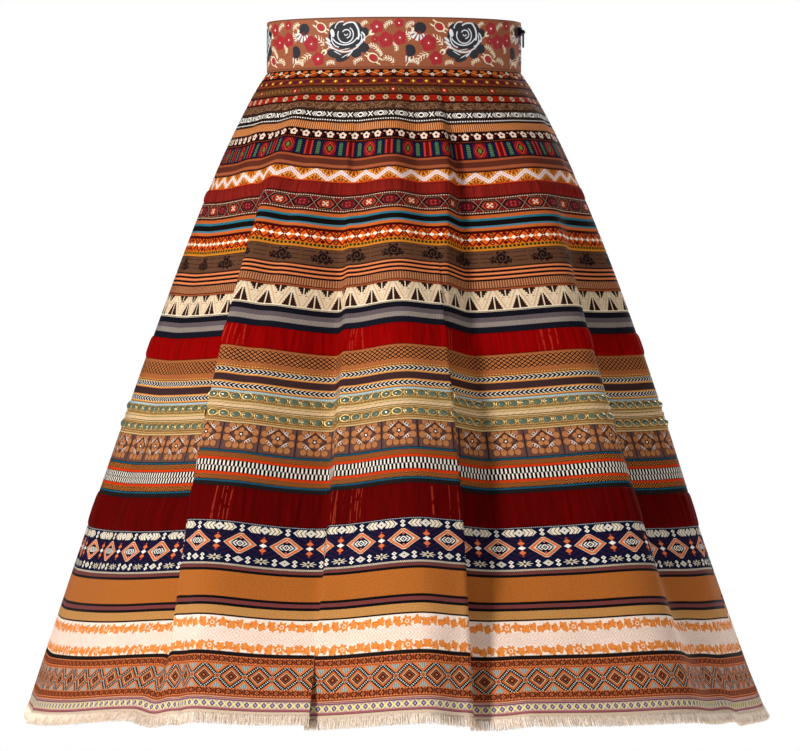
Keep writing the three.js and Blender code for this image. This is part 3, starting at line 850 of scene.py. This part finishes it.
@pattern(0x070F2E)
def navy_diamonds(w, u, v):
    a, m = u.repeat(47.5), u.repeat(47.5, 23.75)
    w.lay((v - u.peak(47.5, 11)).repeat(5.4).near(0, 0.8) & v.near(23.6, 12.3), 0x300F26)
    w.lay(oval(u.repeat(1.9), v - 0.9, 0.6, 0.5), 0xB7B9BD)
    top = v - 6.4
    strips = (abs(m) + abs(top) * 0.9).repeat(4.4).near(0, 1.75)
    outline = (abs(m) + abs(top) * 1.3).below(18.5)
    w.lay(strips & outline & abs(top).below(3.9) & abs(m).above(4.5), 0xE4D7BF, 0.15)
    w.nest(diamond, m, top, (5.6, 4.4, 0xD9CFC1, 0.15), (1.3, 0.9, 0x070F2E))
    eight(w, a, top)
    b = v - 23.0
    size = abs(a) * (1 / 17.2) + abs(b) * (1 / 12.4)
    w.lay(size.below(1) & abs(b).below(11.0), 0xE8CCAE, 0.15)
    w.lay(size.near(0.83, 0.12) & abs(b).below(10.2), 0xD16B3E, 0.15)
    w.lay(size.below(0.64), 0x040719)
    lines = (abs(a) + abs(b) * 1.2).repeat(3.5).near(0, 0.85)
    w.lay(lines & diamond(a, b, 10.8, 6.4) & abs(b).below(2.9), 0xEEE7DF)
    w.lay(diamond(a, abs(b) - 5.9, 1.8, 1.4), 0xCF5F52)
    w.lay(diamond(m, abs(b) - 5.2, 3.9, 2.7), 0xD86D3C, 0.15)
    w.lay(diamond(m, b, 4.2, 2.4), 0xF3ECE4, 0.15)
    w.lay(diamond(m, abs(b) - 8.8, 1.5, 1.0), 0xB6402C)
    low = v - 40.1
    w.lay(flower(m * 0.42, low, 3.6, 8, 0.42), 0xDFD1B6, 0.15)
    w.lay(diamond(m, low, 2.0, 1.2), 0x070F2E)
    w.nest(diamond, a, low, (5.8, 3.6, 0xD0C8BA, 0.15), (1.1, 0.8, 0x070F2E))
    eight(w, abs(a) - 10.2, low)
    w.stripe(45.9, 48.2, 0xD8C8B2, 0.4)
    w.lay((u + v * 0.8).repeat(1.9).near(0, 0.55) & v.above(46.0), 0x857566)


@pattern(0xA55D23)
def ochre_felt(w, u, v):
    w.stripes((0, 3.6, 0x693431), (3.6, 6.4, 0x040408), (33.3, 36.1, 0x040408), (36.1, 40.2, 0x6D3433),
              (40.2, 43.2, 0x040408), (43.2, 52.4, 0xB27E45), (52.4, 53.8, 0x180D0F))
    fibres = w.noise(1.6, 1.2, 4.0)
    w.shade(fibres, 0.5, 1.46)
    w.raise_by(fibres * 0.35)


@pattern(0xF7E1D2)
def peach_flowers(w, u, v):
    a, b = u.repeat(70), abs(v - 20.2) - 12.2
    blooms = ((0, 0, 6.4, 7, 0), (-10.6, 1.0, 5.6, 5, 0.4), (10.6, 1.0, 5.6, 5, 0.9), (-8, -2.2, 3.6, 4, 0.2),
              (-20.0, -0.8, 5.4, 4, 0.3), (19.6, -0.8, 5.6, 4, 0.8), (-27.4, 1.2, 5.2, 5, 1.2),
              (28.2, 0.8, 5.4, 5, 0.1), (-33.6, -1.4, 4.2, 4, 0), (34.2, -1.4, 3.8, 4, 0.5))
    for x, y, reach, petals, turn in blooms:
        w.lay(flower(a - x, b - y, reach, petals, 0.17, turn), 0xE6893C, 0.3)
    w.lay(reach_of(a, b).near(1.9, 0.4), 0xFBE5D2)
    for place in (-24, -15.4, -5.6, 5.6, 15.2, 24, 31):
        w.lay((a - b * 0.35 - place).near(0, 0.42) & b.near(0.4, 2.6), 0xF7DAC1)
    w.lay(oval((a + 3).repeat(9.4), b - 1.4, 1.6, 1.1), 0xD17232)
    cells = (abs(u.repeat(46)) + abs(v - 20.2)).repeat(3.7).near(0, 0.5) & abs(v - 20.2).below(7.2)
    w.lay(cells, 0xEFC2AE, -0.35)


def tapestry_border(w, u, v, middle):
    b = v - middle
    w.lay(b.near(0, 3.9), 0xB0542A)
    w.lay(bar(u.repeat(9.7), b, 3.3, 3.2), 0x502618)
    w.nest(diamond, u.repeat(9.7), b, (2.2, 2.2, 0xC46434), (1.0, 1.0, 0x502618))
    w.lay(diamond(u.repeat(9.7, 4.85), b, 1.7, 3.0), 0x6A2C18)
    w.lay(oval(u.repeat(3.2), abs(b) - 3.2, 0.8, 0.5), 0xE8925A)


@pattern(0xCE7240)
def rust_tapestry(w, u, v):
    w.stripe(0, 4.2, 0x1B1211)
    tapestry_border(w, u, v, 8.2)
    w.stripe(12.1, 13.7, 0xC0683A)
    w.lay(u.repeat(3.2).near(0, 0.8) & v.near(12.9, 0.6), 0x7E3318)
    a, m, b = u.repeat(27.5), u.repeat(27.5, 13.75), v - 26.5
    size = abs(a) * (1 / 16) + abs(b) * (1 / 15.2)
    frame_part = abs(a).below(12.8) & abs(b).below(12.4)
    leaf = (abs(m) - (abs(b) - 5.6) * 0.8).below(0) & abs(b).near(8.9, 3.2)
    w.lay(leaf, 0xA2B0AA, 0.1)
    w.lay(leaf & m.repeat(1.9).near(0, 0.4), 0x66726E)
    w.lay(size.below(1.05) & frame_part, 0x0E0908)
    ticks = (abs(a) - abs(b)).repeat(3.0).near(0, 0.62) & size.near(0.85, 0.075) & frame_part
    w.lay(ticks, 0xDCE4E2, 0.15)
    for limit, colour in ((0.66, 0xC0602E), (0.5, 0x2A120C), (0.47, 0xF0CDA0), (0.42, 0x4E2014),
                          (0.3, 0x9A4E2E), (0.24, 0x401A10), (0.09, 0xB86A40)):
        w.lay(size.below(limit), colour)
    w.nest(diamond, m, b, (3.8, 4.4, 0x1A0F0C), (2.9, 3.4, 0xE0A878), (2.2, 2.6, 0xA8482A))
    tapestry_border(w, u, v, 42.6)
    w.stripes((46.6, 48.0, 0x8A3E22), (48.0, 49.5, 0xCC9478))


@pattern(0xBD8C89)
def yellow_cross(w, u, v):
    w.stripes((0, 1.3, 0xC38A81), (1.3, 2.6, 0x6E4761))
    a, m, b = u.repeat(8.6), u.repeat(8.6, 4.3), v - 6.4
    zone = abs(b).below(3.6)
    w.lay(zone, 0xB3A0AC)
    w.lay(diamond(m, b, 2.6, 3.4) & zone, 0x55497D)
    w.lay(diamond(m, b, 1.2, 1.6) & zone, 0xB3A0AC)
    w.lay((abs(a) - abs(b) * 0.95).near(0, 1.0) & zone, 0xE8D683, 0.1)
    w.lay(oval(a, b, 1.5, 1.2), 0xECDA89)
    w.stripe(10.8, 13, 0x9A575F)


# Each velvet's colour, the spacing of its gathers, and where painted highlights lie on them: place and half
# reach
VELVETS = {
    "velvet_narrow": (0x781C16, 5, ()),
    "velvet_upper": (0x820202, 22, ((-43, 14), (68, 10), (-200, 24), (190, 12))),
    "velvet_lower": (0x520202, 24, ((-74, 7), (-54, 9), (30, 7), (66, 16), (-215, 14))),
}


def gather_lines(w, width, spacing):
    """Thin gathers that run down a velvet band at uneven places."""
    masks = None
    for layer in range(2):
        across = w.u * (1 / (spacing * (1 + 0.37 * layer))) + 0.31 * layer
        cell = across.math("FLOOR")
        place = across - cell
        lean = (cell.random(5 + layer) - 0.5) * (0.5 / width)
        middle = cell.random(1 + layer) * 0.7 + 0.15 + lean * w.v
        line = (place - middle).near(0, 0.5 / spacing) & cell.random(8 + layer).below(0.6)
        masks = line if masks is None else masks | line
    return masks


def velvet(name, width):
    colour, spacing, painted_highlight_places = VELVETS[name]
    w = Weave(name, colour, roughness=0.85, sheen=0.12, specular=0.02)
    put(w.shader, Sheen_Roughness=0.3, Sheen_Tint=(1.0, 0.1, 0.05, 1))
    # Long upright streaks of darker and lighter red: painted shade and light of the gathered pile
    w.shade(w.noise(6, 60), 0.5, 1.45)
    w.shade(w.noise(1.2, 1.2, 3.0), 0.85, 1.15)
    # Dark lines down the gathers, also pressed in as grooves: painted shade in the creases
    lines = gather_lines(w, width, spacing)
    w.mix(lines * 0.2, linear(0x3A0404))
    # Pale orange lines on a few gathers near the folds: painted highlights
    for place, reach in painted_highlight_places:
        painted_highlight = gather_lines(w, width, 7) & w.u.near(place, reach) & w.noise(3, 9).above(0.45)
        w.mix(painted_highlight * 0.3, linear(0xC84A30))
    w.raise_by(lines * -0.5)
    w.raise_by(w.noise(5, 40) * 1.4)
    return w.finish()


def ribbon_material(name, width):
    if name in VELVETS:
        return velvet(name, width)
    draw, ground = PATTERNS[name]
    w = Weave(name, ground)
    draw(w, w.u, w.v)
    if name == "ochre_felt":
        put(w.shader, Sheen_Weight=0.05, Roughness=0.9)
    else:
        w.threads()
    if name == "gold_cord":
        put(w.shader, Roughness=0.42)
    # Painted shade along both seams of the ribbon
    w.seam_shade(width)
    return w.finish()


def back_material(name, colour):
    """The wrong side of a ribbon: its ground colour, duller, with loose floats."""
    w = Weave(name + "_back", colour, roughness=0.9, sheen=0.15)
    w.mix(w.noise(6, 1.2, 3.0) * 0.6, linear(0x8A6A55))
    w.threads(1.1, 0.08)
    return w.finish()


# Pieces

COLUMNS, VELVET_COLUMNS = 560, 1120
ROW_STEP, VELVET_ROW_STEP, EDGE_ROW = 6.0, 3.5, 1.2
CORD_WIDTH, CORD_ROWS = 6, 9
NARROW_VELVET, NARROW_GATHERS, WIDE_GATHERS = 20, 5.0, 11.0
PUFF = {"velvet_narrow": 0.7, "velvet_upper": 1.0, "velvet_lower": 1.0, "gold_cord": 0.8}
THICKNESS = {"orange_rib": 1.6, "gold_cord": 2.0, "beads_upper": 1.6, "beads_lower": 1.6}
EDGE_TUCK, PLAIN_THICKNESS, NARROWEST_SHEET = 0.35, 1.3, 10
BEAD_SPACING, BEAD_SIZES, SETTING_MARGIN = 12.2, (4.9, 3.2, 1.9), 0.4
BEAD_ROWS = {"beads_upper": 6.9, "beads_lower": 7.4}
FRINGE_HEADING, FRINGE_LENGTH, THREAD_SPACING = 4.0, 11.0, 0.9
HEADING_EDGE, HEADING_THICKNESS, THREAD_RADIUS, THREAD_STATIONS = 0.8, 1.4, 0.55, 5
MIDDLE_Z = -0.35
WHITE = (1, 1, 1, 1)


def arc_from_front(points, angles):
    """Length along a row of points, counted from the front middle."""
    walked = walk(points)
    return walked - np.interp(360.0, angles, walked)


def velvet_gathers(u, v, width, seed):
    """Soft upright puckers of a velvet band, pinned at both seams."""
    rng = np.random.default_rng(seed)
    height = np.zeros((len(v), len(u)))
    spacing = NARROW_GATHERS if width < NARROW_VELVET else WIDE_GATHERS
    for place in np.arange(u[0], u[-1], spacing):
        middle = place + rng.uniform(-0.4, 0.4) * spacing
        half = rng.uniform(0.16, 0.34) * spacing
        lean = rng.uniform(-0.12, 0.12)
        reach = rng.uniform(0.3, 1.0)
        height += reach * np.exp(-((u[None, :] - middle - lean * v[:, None]) / half) ** 2)
    held = np.clip(np.minimum(v, width - v) / 4.0, 0, 1)[:, None]
    return height * (0.35 + 0.65 * held)


def across_rows(width, step):
    """Heights of a ribbon's rows from its top edge, with a close pair by each edge."""
    top, bottom = PIECE_GAP / 2, width - PIECE_GAP / 2
    if width < CORD_WIDTH:
        return np.linspace(top, bottom, CORD_ROWS)
    count = max(2, math.ceil((width - 2) / step) + 1)
    return np.concatenate([[top], np.linspace(EDGE_ROW, width - EDGE_ROW, count), [bottom]])


def add_ribbon(name, start, width, order):
    velvet_band = name in VELVETS
    angles = close_to_seam(spread_angles(VELVET_COLUMNS if velvet_band else COLUMNS), start + width / 2)
    surface = Surface(angles)
    rows = across_rows(width, VELVET_ROW_STEP if velvet_band else ROW_STEP)
    points, outward, _, _ = surface.at(start + rows)
    middle_points, _, _, _ = surface.at(np.array([start + width / 2]))
    u = arc_from_front(middle_points[0], angles)
    share = 2 * rows / width - 1
    bulge = np.sqrt(np.clip(1 - share ** 2, 0, 1))
    lift = PUFF.get(name, 0.0) * bulge[:, None] + np.zeros((len(rows), len(angles)))
    lift[[0, -1]] -= EDGE_TUCK
    if velvet_band:
        lift += velvet_gathers(u, rows, width, order)
    outer = points + outward * lift[..., None]
    inner_rows = np.array([rows[0], width / 2, rows[-1]])
    inner_points, inner_outward, _, _ = surface.at(start + inner_rows)
    inner = inner_points - inner_outward * THICKNESS.get(name, PLAIN_THICKNESS)
    ground = VELVETS[name][0] if velvet_band else PATTERNS[name][1]
    piece = shell("cloth_" + name, outer, inner, u, rows, inner_rows,
                  ribbon_material(name, width), back_material(name, ground))
    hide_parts(name)
    return piece, u[-1] - u[0]


def bead_mesh(segments=12, rings=7):
    """A unit ball as points and faces, with its poles along the third axis."""
    points, faces = [(0, 0, 1)], []
    for ring in range(1, rings):
        tilt = math.pi * ring / rings
        for step in range(segments):
            turn = 2 * math.pi * step / segments
            points.append((math.sin(tilt) * math.cos(turn), math.sin(tilt) * math.sin(turn), math.cos(tilt)))
    points.append((0, 0, -1))
    for step in range(segments):
        following = (step + 1) % segments
        faces.append([0, 1 + step, 1 + following])
        for ring in range(rings - 2):
            a, b = 1 + ring * segments, 1 + (ring + 1) * segments
            faces.append([a + step, b + step, b + following, a + following])
        last = 1 + (rings - 2) * segments
        faces.append([len(points) - 1, last + following, last + step])
    return np.array(points), faces


def ring_mesh(wire, segments=20, sides=5):
    """A unit ring of wire, flattened later into an oval."""
    points, faces = [], []
    for step in range(segments):
        turn = 2 * math.pi * step / segments
        for side in range(sides):
            tilt = 2 * math.pi * side / sides
            reach = 1 + wire * math.cos(tilt)
            points.append((reach * math.cos(turn), reach * math.sin(turn), wire * math.sin(tilt) * 4))
            near, far = step * sides, (step + 1) % segments * sides
            following = (side + 1) % sides
            faces.append([near + side, far + side, far + following, near + following])
    return np.array(points), faces


def scatter(name, base, sizes, places, lift, directions, material):
    """One mesh of a base form repeated at places on the cloth, each laid flat on it at this lift."""
    form, form_faces = base
    outward, along, down = (direction[:, None, :] for direction in directions)
    parts = places[:, None, :] + outward * lift
    for axis, direction in enumerate((along, down, outward)):
        parts = parts + form[None, :, axis, None] * sizes[axis] * direction
    faces = [[corner + copy * len(form) for corner in face] for copy in range(len(places))
             for face in form_faces]
    return make_object(name, parts.reshape(-1, 3), faces, [material])


def simple_material(name, colour, roughness, metallic=0.0, grain=0.0005):
    """A small hard or twisted piece with a fine grain."""
    w = Weave(name, colour, roughness, specular=0.5, metallic=metallic, on_cloth=False)
    grains = w.noise(2.5 * grain, 2.5 * grain)
    w.shade(grains, 0.6, 1.35)
    w.raise_by(grains)
    return w.finish(0.3 * grain / MM)


def add_beads(name, length, round_length, green, gold):
    """Oval beads in gold settings along one row of the cloth."""
    angles = spread_angles(COLUMNS)
    points, _, _, _ = Surface(angles).at([length])
    u = arc_from_front(points[0], angles)
    count = int(round_length / BEAD_SPACING)
    centres = np.interp(u[0] + (np.arange(count) + 0.5) * (u[-1] - u[0]) / count, u, angles)
    places, *directions = (values[0] for values in Surface(centres).at([length]))
    setting_sizes = (BEAD_SIZES[0] + SETTING_MARGIN, BEAD_SIZES[1] + SETTING_MARGIN, 1.0)
    return [scatter(name + "_beads", bead_mesh(), BEAD_SIZES, places, 0.3, directions, green),
            scatter(name + "_settings", ring_mesh(0.14), setting_sizes, places, 0.5, directions, gold)]


def add_fringe():
    """A twisted heading and a dense brush of single threads below it."""
    cream = simple_material("fringe_cream", 0xF4E0CC, 0.9, grain=0.0012)
    angles = close_to_seam(spread_angles(COLUMNS), CLOTH_LENGTH)
    surface = Surface(angles)
    top = CLOTH_LENGTH + PIECE_GAP / 2
    low = top + FRINGE_HEADING
    rows = np.array([top, top + HEADING_EDGE, low - HEADING_EDGE, low])
    points, outward, _, _ = surface.at(rows)
    outer = points + outward * np.array([-0.3, 0.1, 0.1, -0.3])[:, None, None]
    inner = points[[0, 3]] - outward[[0, 3]] * HEADING_THICKNESS
    u = arc_from_front(points[0], angles)
    w = Weave("fringe_heading", 0xE0C6AC, roughness=0.9)
    slots = w.u.repeat(1.2).near(0, 0.35)
    w.shade(slots, 1.05, 0.8)
    w.raise_by(slots * -0.3)
    weave = w.finish()
    heading = shell("fringe_heading", outer, inner, u, rows - top, rows[[0, 3]] - top, weave, weave)
    rng = np.random.default_rng(7)
    round_length = u[-1] - u[0]
    threads = []
    for layer, lift in enumerate((0.1, -0.8)):
        count = int(round_length / THREAD_SPACING)
        spots = u[0] + (np.arange(count) + 0.5 + rng.uniform(-0.3, 0.3, count)) * round_length / count
        threads.append(thread_points(np.interp(spots, u, angles), top, lift, rng))
    brush = tube_object("fringe_threads", np.concatenate(threads), THREAD_RADIUS, cream, sides=3)
    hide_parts("hem_fringe")


def thread_points(angles, top, lift, rng):
    """Points down each thread of the fringe: threads by stations by x, y and z."""
    count = len(angles)
    low = top + FRINGE_HEADING
    stations = np.linspace(low - 1.0, low + FRINGE_LENGTH, THREAD_STATIONS)
    points, outward, along, down = Surface(angles).at(stations)
    fall = np.linspace(0, 1, THREAD_STATIONS)[:, None]
    clump = 0.5 * np.sin(np.radians(angles) * 210) + 0.3 * np.sin(np.radians(angles) * 97 + 1)
    sway = (clump + rng.normal(0, 0.4, count))[None, :] * fall ** 1.4
    out = lift + rng.normal(0, 0.5, count)[None, :] * fall + 0.5 * fall
    short = rng.uniform(-1.0, 0.6, count)[None, :] * fall
    moved = points + along * sway[..., None] + outward * out[..., None] + down * short[..., None]
    return np.moveaxis(moved, 0, 1)


def tube_object(name, lines, radius, material, sides):
    """One mesh of thin tubes with flat ends, along lines by stations by x, y and z."""
    count, stations = lines.shape[:2]
    run = unit(np.diff(lines, axis=1, append=2 * lines[:, -1:] - lines[:, -2:-1]))
    side = unit(np.cross(run, np.array([0.0, 0.0, 1.0]) + 0 * run + 1e-6))
    other = np.cross(run, side)
    thin = np.linspace(1.0, 0.55, stations)[None, :, None]
    rings = []
    for corner in range(sides):
        turn = 2 * math.pi * corner / sides
        rings.append(lines + radius * thin * (math.cos(turn) * side + math.sin(turn) * other))
    points = np.stack(rings, axis=2).reshape(-1, 3)
    base = (np.arange(count)[:, None] * stations + np.arange(stations - 1)[None, :]).ravel() * sides
    corners = [(c, (c + 1) % sides) for c in range(sides)]
    walls = [np.stack([base + c, base + n, base + sides + n, base + sides + c], axis=-1) for c, n in corners]
    first = np.arange(count) * stations * sides
    last = first + (stations - 1) * sides
    caps = [np.stack([first + c for c in reversed(range(sides))], axis=-1),
            np.stack([last + c for c in range(sides)], axis=-1)]
    faces = [face for part in walls + caps for face in part.tolist()]
    return make_object(name, points, faces, [material])


def waistband_material():
    """Brown satin brocade with dark roses, red blossoms and cream sprigs."""
    w = Weave("waistband", 0x94502E, roughness=0.6, sheen=0.05, specular=0.3)
    u, v = w.u, w.v
    cream, white, dark, red = 0xEED9BC, 0xDCE0E4, 0x1E1D27, 0xA81B26
    w.shade((u + v * 0.15).repeat(1.1).near(0, 0.3), 1.0, 0.88)
    a = (u + 51.6).repeat(127.8)

    def turned(x, y, turn):
        """Places along and across a motif that stands turned at x and y."""
        c, s = math.cos(turn), math.sin(turn)
        return (a - x) * c + (v - y) * s, (v - y) * c - (a - x) * s

    def rose_patch(x, y, turn, wide, high, colour=dark):
        w.lay(oval(*turned(x, y, turn), wide, high), colour, 0.3)

    def rose_light(*place):
        rose_patch(*place, white)

    def arc(x, y, reach, middle, span, half):
        """Part of a ring, from the middle angle by a span to both sides."""
        p, q = a - x, v - y
        part = (angle_of(p, q) - middle).repeat(2 * math.pi).near(0, span)
        w.lay(reach_of(p, q).near(reach, half) & part, white, 0.3)

    def sprig(x, y, turn, size):
        """A curved stem with leaves on both sides."""
        along, across = turned(x, y, turn)
        curve = across - along * along * (0.05 / size)
        leaf = (along + abs(curve) * 0.9).repeat(2.8 * size).near(0, 0.62) & abs(curve).below(2.9 * size)
        w.lay((curve.near(0, 0.45) | leaf) & along.near(0, 6.2 * size), cream, 0.3)

    def drop(x, y, turn):
        """An open bud on a stem."""
        along, across = turned(x, y, turn)
        w.lay(oval(along, across, 3.6, 2.8), cream, 0.3)
        w.lay(oval(along + 1.0, across, 1.8, 1.3), 0x7A4228)
        w.lay(across.near(0, 0.5) & along.near(6, 3.4), cream, 0.3)

    def bud(x, y, turn):
        """A red bud held by curled cream leaves."""
        along, across = turned(x, y, turn)
        shape = oval(along, across, 6.4, 5.0)
        w.lay(shape | oval(along - 7.5, abs(across) - 2.6, 3.2, 0.8), cream, 0.3)
        w.lay(oval(along - 0.6, across, 5.2, 3.9), 0x8A4A2E)
        w.lay(oval(along, across, 4.0, 2.9), red, 0.3)
        w.lay(oval(along + 7.0, abs(across) - 1.8, 2.6, 0.7), cream, 0.3)

    def blossom(x, y, reach, centre):
        p, q = a - x, v - y
        w.lay(round_petals(p, q, reach, 5, 0.5), red, 0.35)
        w.lay(rays(p, q, 15, 0.35) & reach_of(p, q).near(reach * 0.6, reach * 0.22), 0x7C121C)
        w.lay(reach_of(p, q).below(centre), 0xF8ECE0, 0.2)

    def carnation(x, y, turn):
        """A dark head with a fan of white petals on one side."""
        along, across = turned(x, y, turn)
        w.lay(oval(along + 3.5, across, 6.0, 6.6), dark, 0.3)
        fan = reach_of(along + 1, across)
        w.lay(rays(along + 1, across, 13, -0.25) & fan.near(8.2, 3.4) & along.above(1.5), white, 0.35)
        w.lay(oval(along - 1.0, across, 1.4, 2.4), 0x5A1A22)

    sprigs = ((19, 6.8, -0.7, 0.8), (31, 31, 0.5, 1.0), (13, 45, -0.5, 0.9), (-13.4, 7.4, 0.1, 0.8),
              (-29.5, 23.2, 0.55, 1.3), (-47, 41.5, -0.6, 1.3), (-54, 46.5, 0.3, 0.8), (-60, 7.4, -0.5, 0.9),
              (-61, 18.8, 0.9, 0.9), (-17, 47, -0.1, 0.8), (54, 31, 1.2, 0.8), (45, 7, -0.6, 0.9),
              (47, 44, 0.4, 1.0), (37, 37, 0.9, 0.7))
    drops = ((28.5, 16.4, 2.5), (-24, 36.5, -0.7), (-54.5, 14.5, -2.4), (-58, 44, 2.2))
    buds = ((-27.5, 10.4, -2.6), (29.5, 43, 0.5))
    carnations = ((-49, 15, 1.75), (-62.5, 37, 2.7))
    blossoms = ((33.6, 10.4, 7.6, 1.1), (43, 24.2, 8.8, 0.8), (31.5, 23.6, 4.2, 0.3), (-39.4, 27.4, 9.4, 0.8),
                (-31.3, 43.4, 7.8, 1.2), (57, 6.6, 5.2, 0.8), (58, 22, 8.2, 0.8))
    rose_body = ((0, 20, 0, 19, 14), (-8, 13, 0, 9.5, 7.5), (8, 13, 0, 10.5, 8), (12, 22, 0, 9.5, 9),
                 (-12.4, 38.5, 0.3, 8.4, 4.4), (-3, 42.5, -0.35, 8, 4), (11.5, 38, 0, 5.6, 5),
                 (20, 32.5, 0, 5.6, 5.2), (21, 16, 0, 4.2, 5))
    rose_rims = ((-1, 15, 21.5, 1.5, 1.1, 0.75), (-1, 13, 16.2, 1.55, 1.0, 0.65),
                 (-2, 18, 16.5, -0.25, 0.6, 1.0), (6, 19, 13.5, -1.75, 0.5, 0.8),
                 (0, 18.5, 8.6, 1.3, 2.3, 0.6), (1, 17.5, 4.4, -0.6, 2.1, 0.6), (-6, 22, 9.5, 2.6, 0.9, 0.6),
                 (9, 22, 8.5, 0.4, 0.9, 0.6), (-4, 12, 7.5, -2.2, 0.9, 0.6), (0.5, 17.5, 1.7, 1.5, 1.6, 0.5),
                 (14, 22, 6.8, -0.3, 0.8, 0.9))
    rose_lights = ((-14.6, 16.5, -0.25, 2.2, 4.4), (-19.5, 23.5, 0.75, 3.6, 1.3),
                   (-18.4, 27.8, 0.6, 4.4, 1.3), (-15.5, 32, 0.35, 4.6, 0.9), (17.5, 26, -0.9, 4.2, 1.3),
                   (-9, 37.5, 0.5, 5, 0.5), (0, 40.5, -0.5, 5, 0.5), (5, 38.5, -0.8, 4.5, 0.8),
                   (-1.5, 34, -0.2, 6.5, 0.45))
    motifs = ((sprig, sprigs), (drop, drops), (bud, buds), (carnation, carnations), (blossom, blossoms),
              (rose_patch, rose_body), (arc, rose_rims), (rose_light, rose_lights))
    for draw, places in motifs:
        for place in places:
            draw(*place)
    w.stripe(0, 1.3, 0x6A3822, 0.3)
    w.lay(v.near(WAISTBAND_HEIGHT - 1.9, 0.35), 0x5E301C, -0.3)
    w.shade(w.noise(1.2, 1.2, 3.0), 0.8, 1.2)
    w.shade(w.noise(40, 30), 0.9, 1.08)
    w.raise_by(u.wave(0.7) * 0.03)
    return w.finish()


def add_waistband():
    angles = close_to_seam(spread_angles(COLUMNS), 0)
    turn = np.radians(angles)
    ring = np.stack([WAIST_HALF_WIDTH * np.sin(turn), -WAIST_HALF_DEPTH * np.cos(turn)], axis=-1)
    normal = unit(np.stack([ring[:, 0] / WAIST_HALF_WIDTH ** 2, ring[:, 1] / WAIST_HALF_DEPTH ** 2], axis=-1))
    half = WAISTBAND_HEIGHT / 2

    def level(z, lift):
        flat = ring + normal * lift
        return np.concatenate([flat, np.full((len(flat), 1), z)], axis=-1)

    heights = np.array([half, half - 0.5, half - 1.4, 12, 0, -12, -half + 1.6, -half + 0.3])
    lifts = np.array([-0.9, -0.25, 0.0, 0.15, 0.2, 0.15, 0.0, -0.4])
    outer = np.stack([level(z, lift) for z, lift in zip(heights, lifts)])
    inner_heights = np.array([half, half - 1.0, -half + 0.3])
    inner = np.stack([level(z, -lift) for z, lift in zip(inner_heights, (1.6, 2.3, 2.3))])
    u = arc_from_front(outer[4], angles)
    lining = Weave("waistband_back", 0x5C3424, roughness=0.7, sheen=0.2)
    lining.threads()
    band = shell("cloth_waistband", outer, inner, u, half - heights, half - inner_heights,
                 waistband_material(), lining.finish())
    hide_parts("waistband")


def dress_zip():
    """The zip's own solids keep their shape: woven tape, and dark enamel with softened edges."""
    tape = simple_material("zip_tape", 0x3A2118, 0.85, grain=0.0008)
    enamel = simple_material("zip_enamel", 0x2B1C14, 0.35, metallic=0.7, grain=0.002)
    for node, material in (("zip_chain", tape), ("zip_slider", enamel), ("zip_pull", enamel)):
        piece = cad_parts[node]
        piece.data.materials.clear()
        piece.data.materials.append(material)
        if node != "zip_chain":
            bevel = piece.modifiers.new("soft_edges", "BEVEL")
            bevel.width = 0.25 * MM
            bevel.segments = 2
            bevel.limit_method = "ANGLE"


def add_skirt():
    green = simple_material("green_bead", 0x5A6450, 0.08, grain=0.003)
    gold = simple_material("gold_wire", 0xE2BE78, 0.35, metallic=0.7, grain=0.001)
    pieces, lengths, starts, start = {}, {}, {}, 0.0
    for order, (name, width) in enumerate(RIBBONS.items()):
        pieces[name], lengths[name] = add_ribbon(name, start, width, order)
        starts[name] = start
        start += width
    companions = {"olive_sprig": [pieces["red_rosettes"]], "beads_upper": [pieces["gold_cord"]],
                  "beads_lower": []}
    for name, down in BEAD_ROWS.items():
        short_name = name.replace("beads_", "")
        companions[name] += add_beads(short_name, starts[name] + down, lengths[name], green, gold)


def add_camera():
    """Level with the middle of the skirt and straight in front, as in a catalogue photograph."""
    distance, frame_width, offset = 5.5, 0.856, 0.0064
    camera = bpy.data.cameras.new("camera")
    camera.sensor_fit = "HORIZONTAL"
    camera.sensor_width = 36
    camera.lens = camera.sensor_width * distance / frame_width
    camera.clip_end = 60
    seen = add_object("camera", camera)
    seen.location = (offset, -distance, MIDDLE_Z)
    seen.rotation_euler = (math.pi / 2, 0, 0)
    bpy.context.scene.camera = seen


def add_light(name, place, size, power, colour):
    """A round soft lamp that faces the middle of the skirt."""
    light = bpy.data.lights.new(name, "AREA")
    light.shape = "DISK"
    light.size = size
    light.energy = power
    light.color = colour
    lamp = add_object(name, light)
    lamp.location = place
    x, y, z = place
    lamp.rotation_euler = (math.atan2(math.hypot(x, y), z - MIDDLE_Z), 0, math.atan2(x, -y))


def add_stage():
    """A plain pale floor under a pale sky, and soft lamps: the main one from the front left and above."""
    scene = bpy.context.scene
    scene.view_settings.view_transform = "Standard"
    floor_material, _, shader = new_material("pale_floor")
    put(shader, Base_Color=(0.8, 0.8, 0.8, 1), Roughness=0.9, Emission_Color=WHITE, Emission_Strength=0.45)
    mesh = bpy.data.meshes.new("floor")
    reach, level, corners = 5.0, -1.15, 96
    turns = np.linspace(0, 2 * math.pi, corners, endpoint=False)
    rim = [(reach * math.cos(turn), reach * math.sin(turn), level) for turn in turns]
    mesh.from_pydata(rim, [], [tuple(range(corners))])
    mesh.materials.append(floor_material)
    floor = add_object("floor", mesh)
    world = bpy.data.worlds.new("pale_sky")
    scene.world = world
    world.use_nodes = True
    tree = world.node_tree
    background = tree.nodes["Background"]
    put(background, Color=WHITE)
    seen = tree.nodes.new("ShaderNodeLightPath")
    strength = tree.nodes.new("ShaderNodeMapRange")
    put(strength, To_Min=0.09, To_Max=1.0)
    tree.links.new(seen.outputs["Is Camera Ray"], strength.inputs["Value"])
    tree.links.new(strength.outputs[0], background.inputs["Strength"])
    add_light("key", (-2.8, -2.9, 1.8), 0.8, 215, (1.0, 0.97, 0.93))
    add_light("fill", (3.9, -2.0, 0.4), 2.0, 42, (1.0, 0.97, 0.94))
    add_light("back", (1.8, 3.4, 1.6), 2.0, 80, (1, 1, 1))


add_camera()
add_waistband()
add_skirt()
add_fringe()
dress_zip()
add_stage()
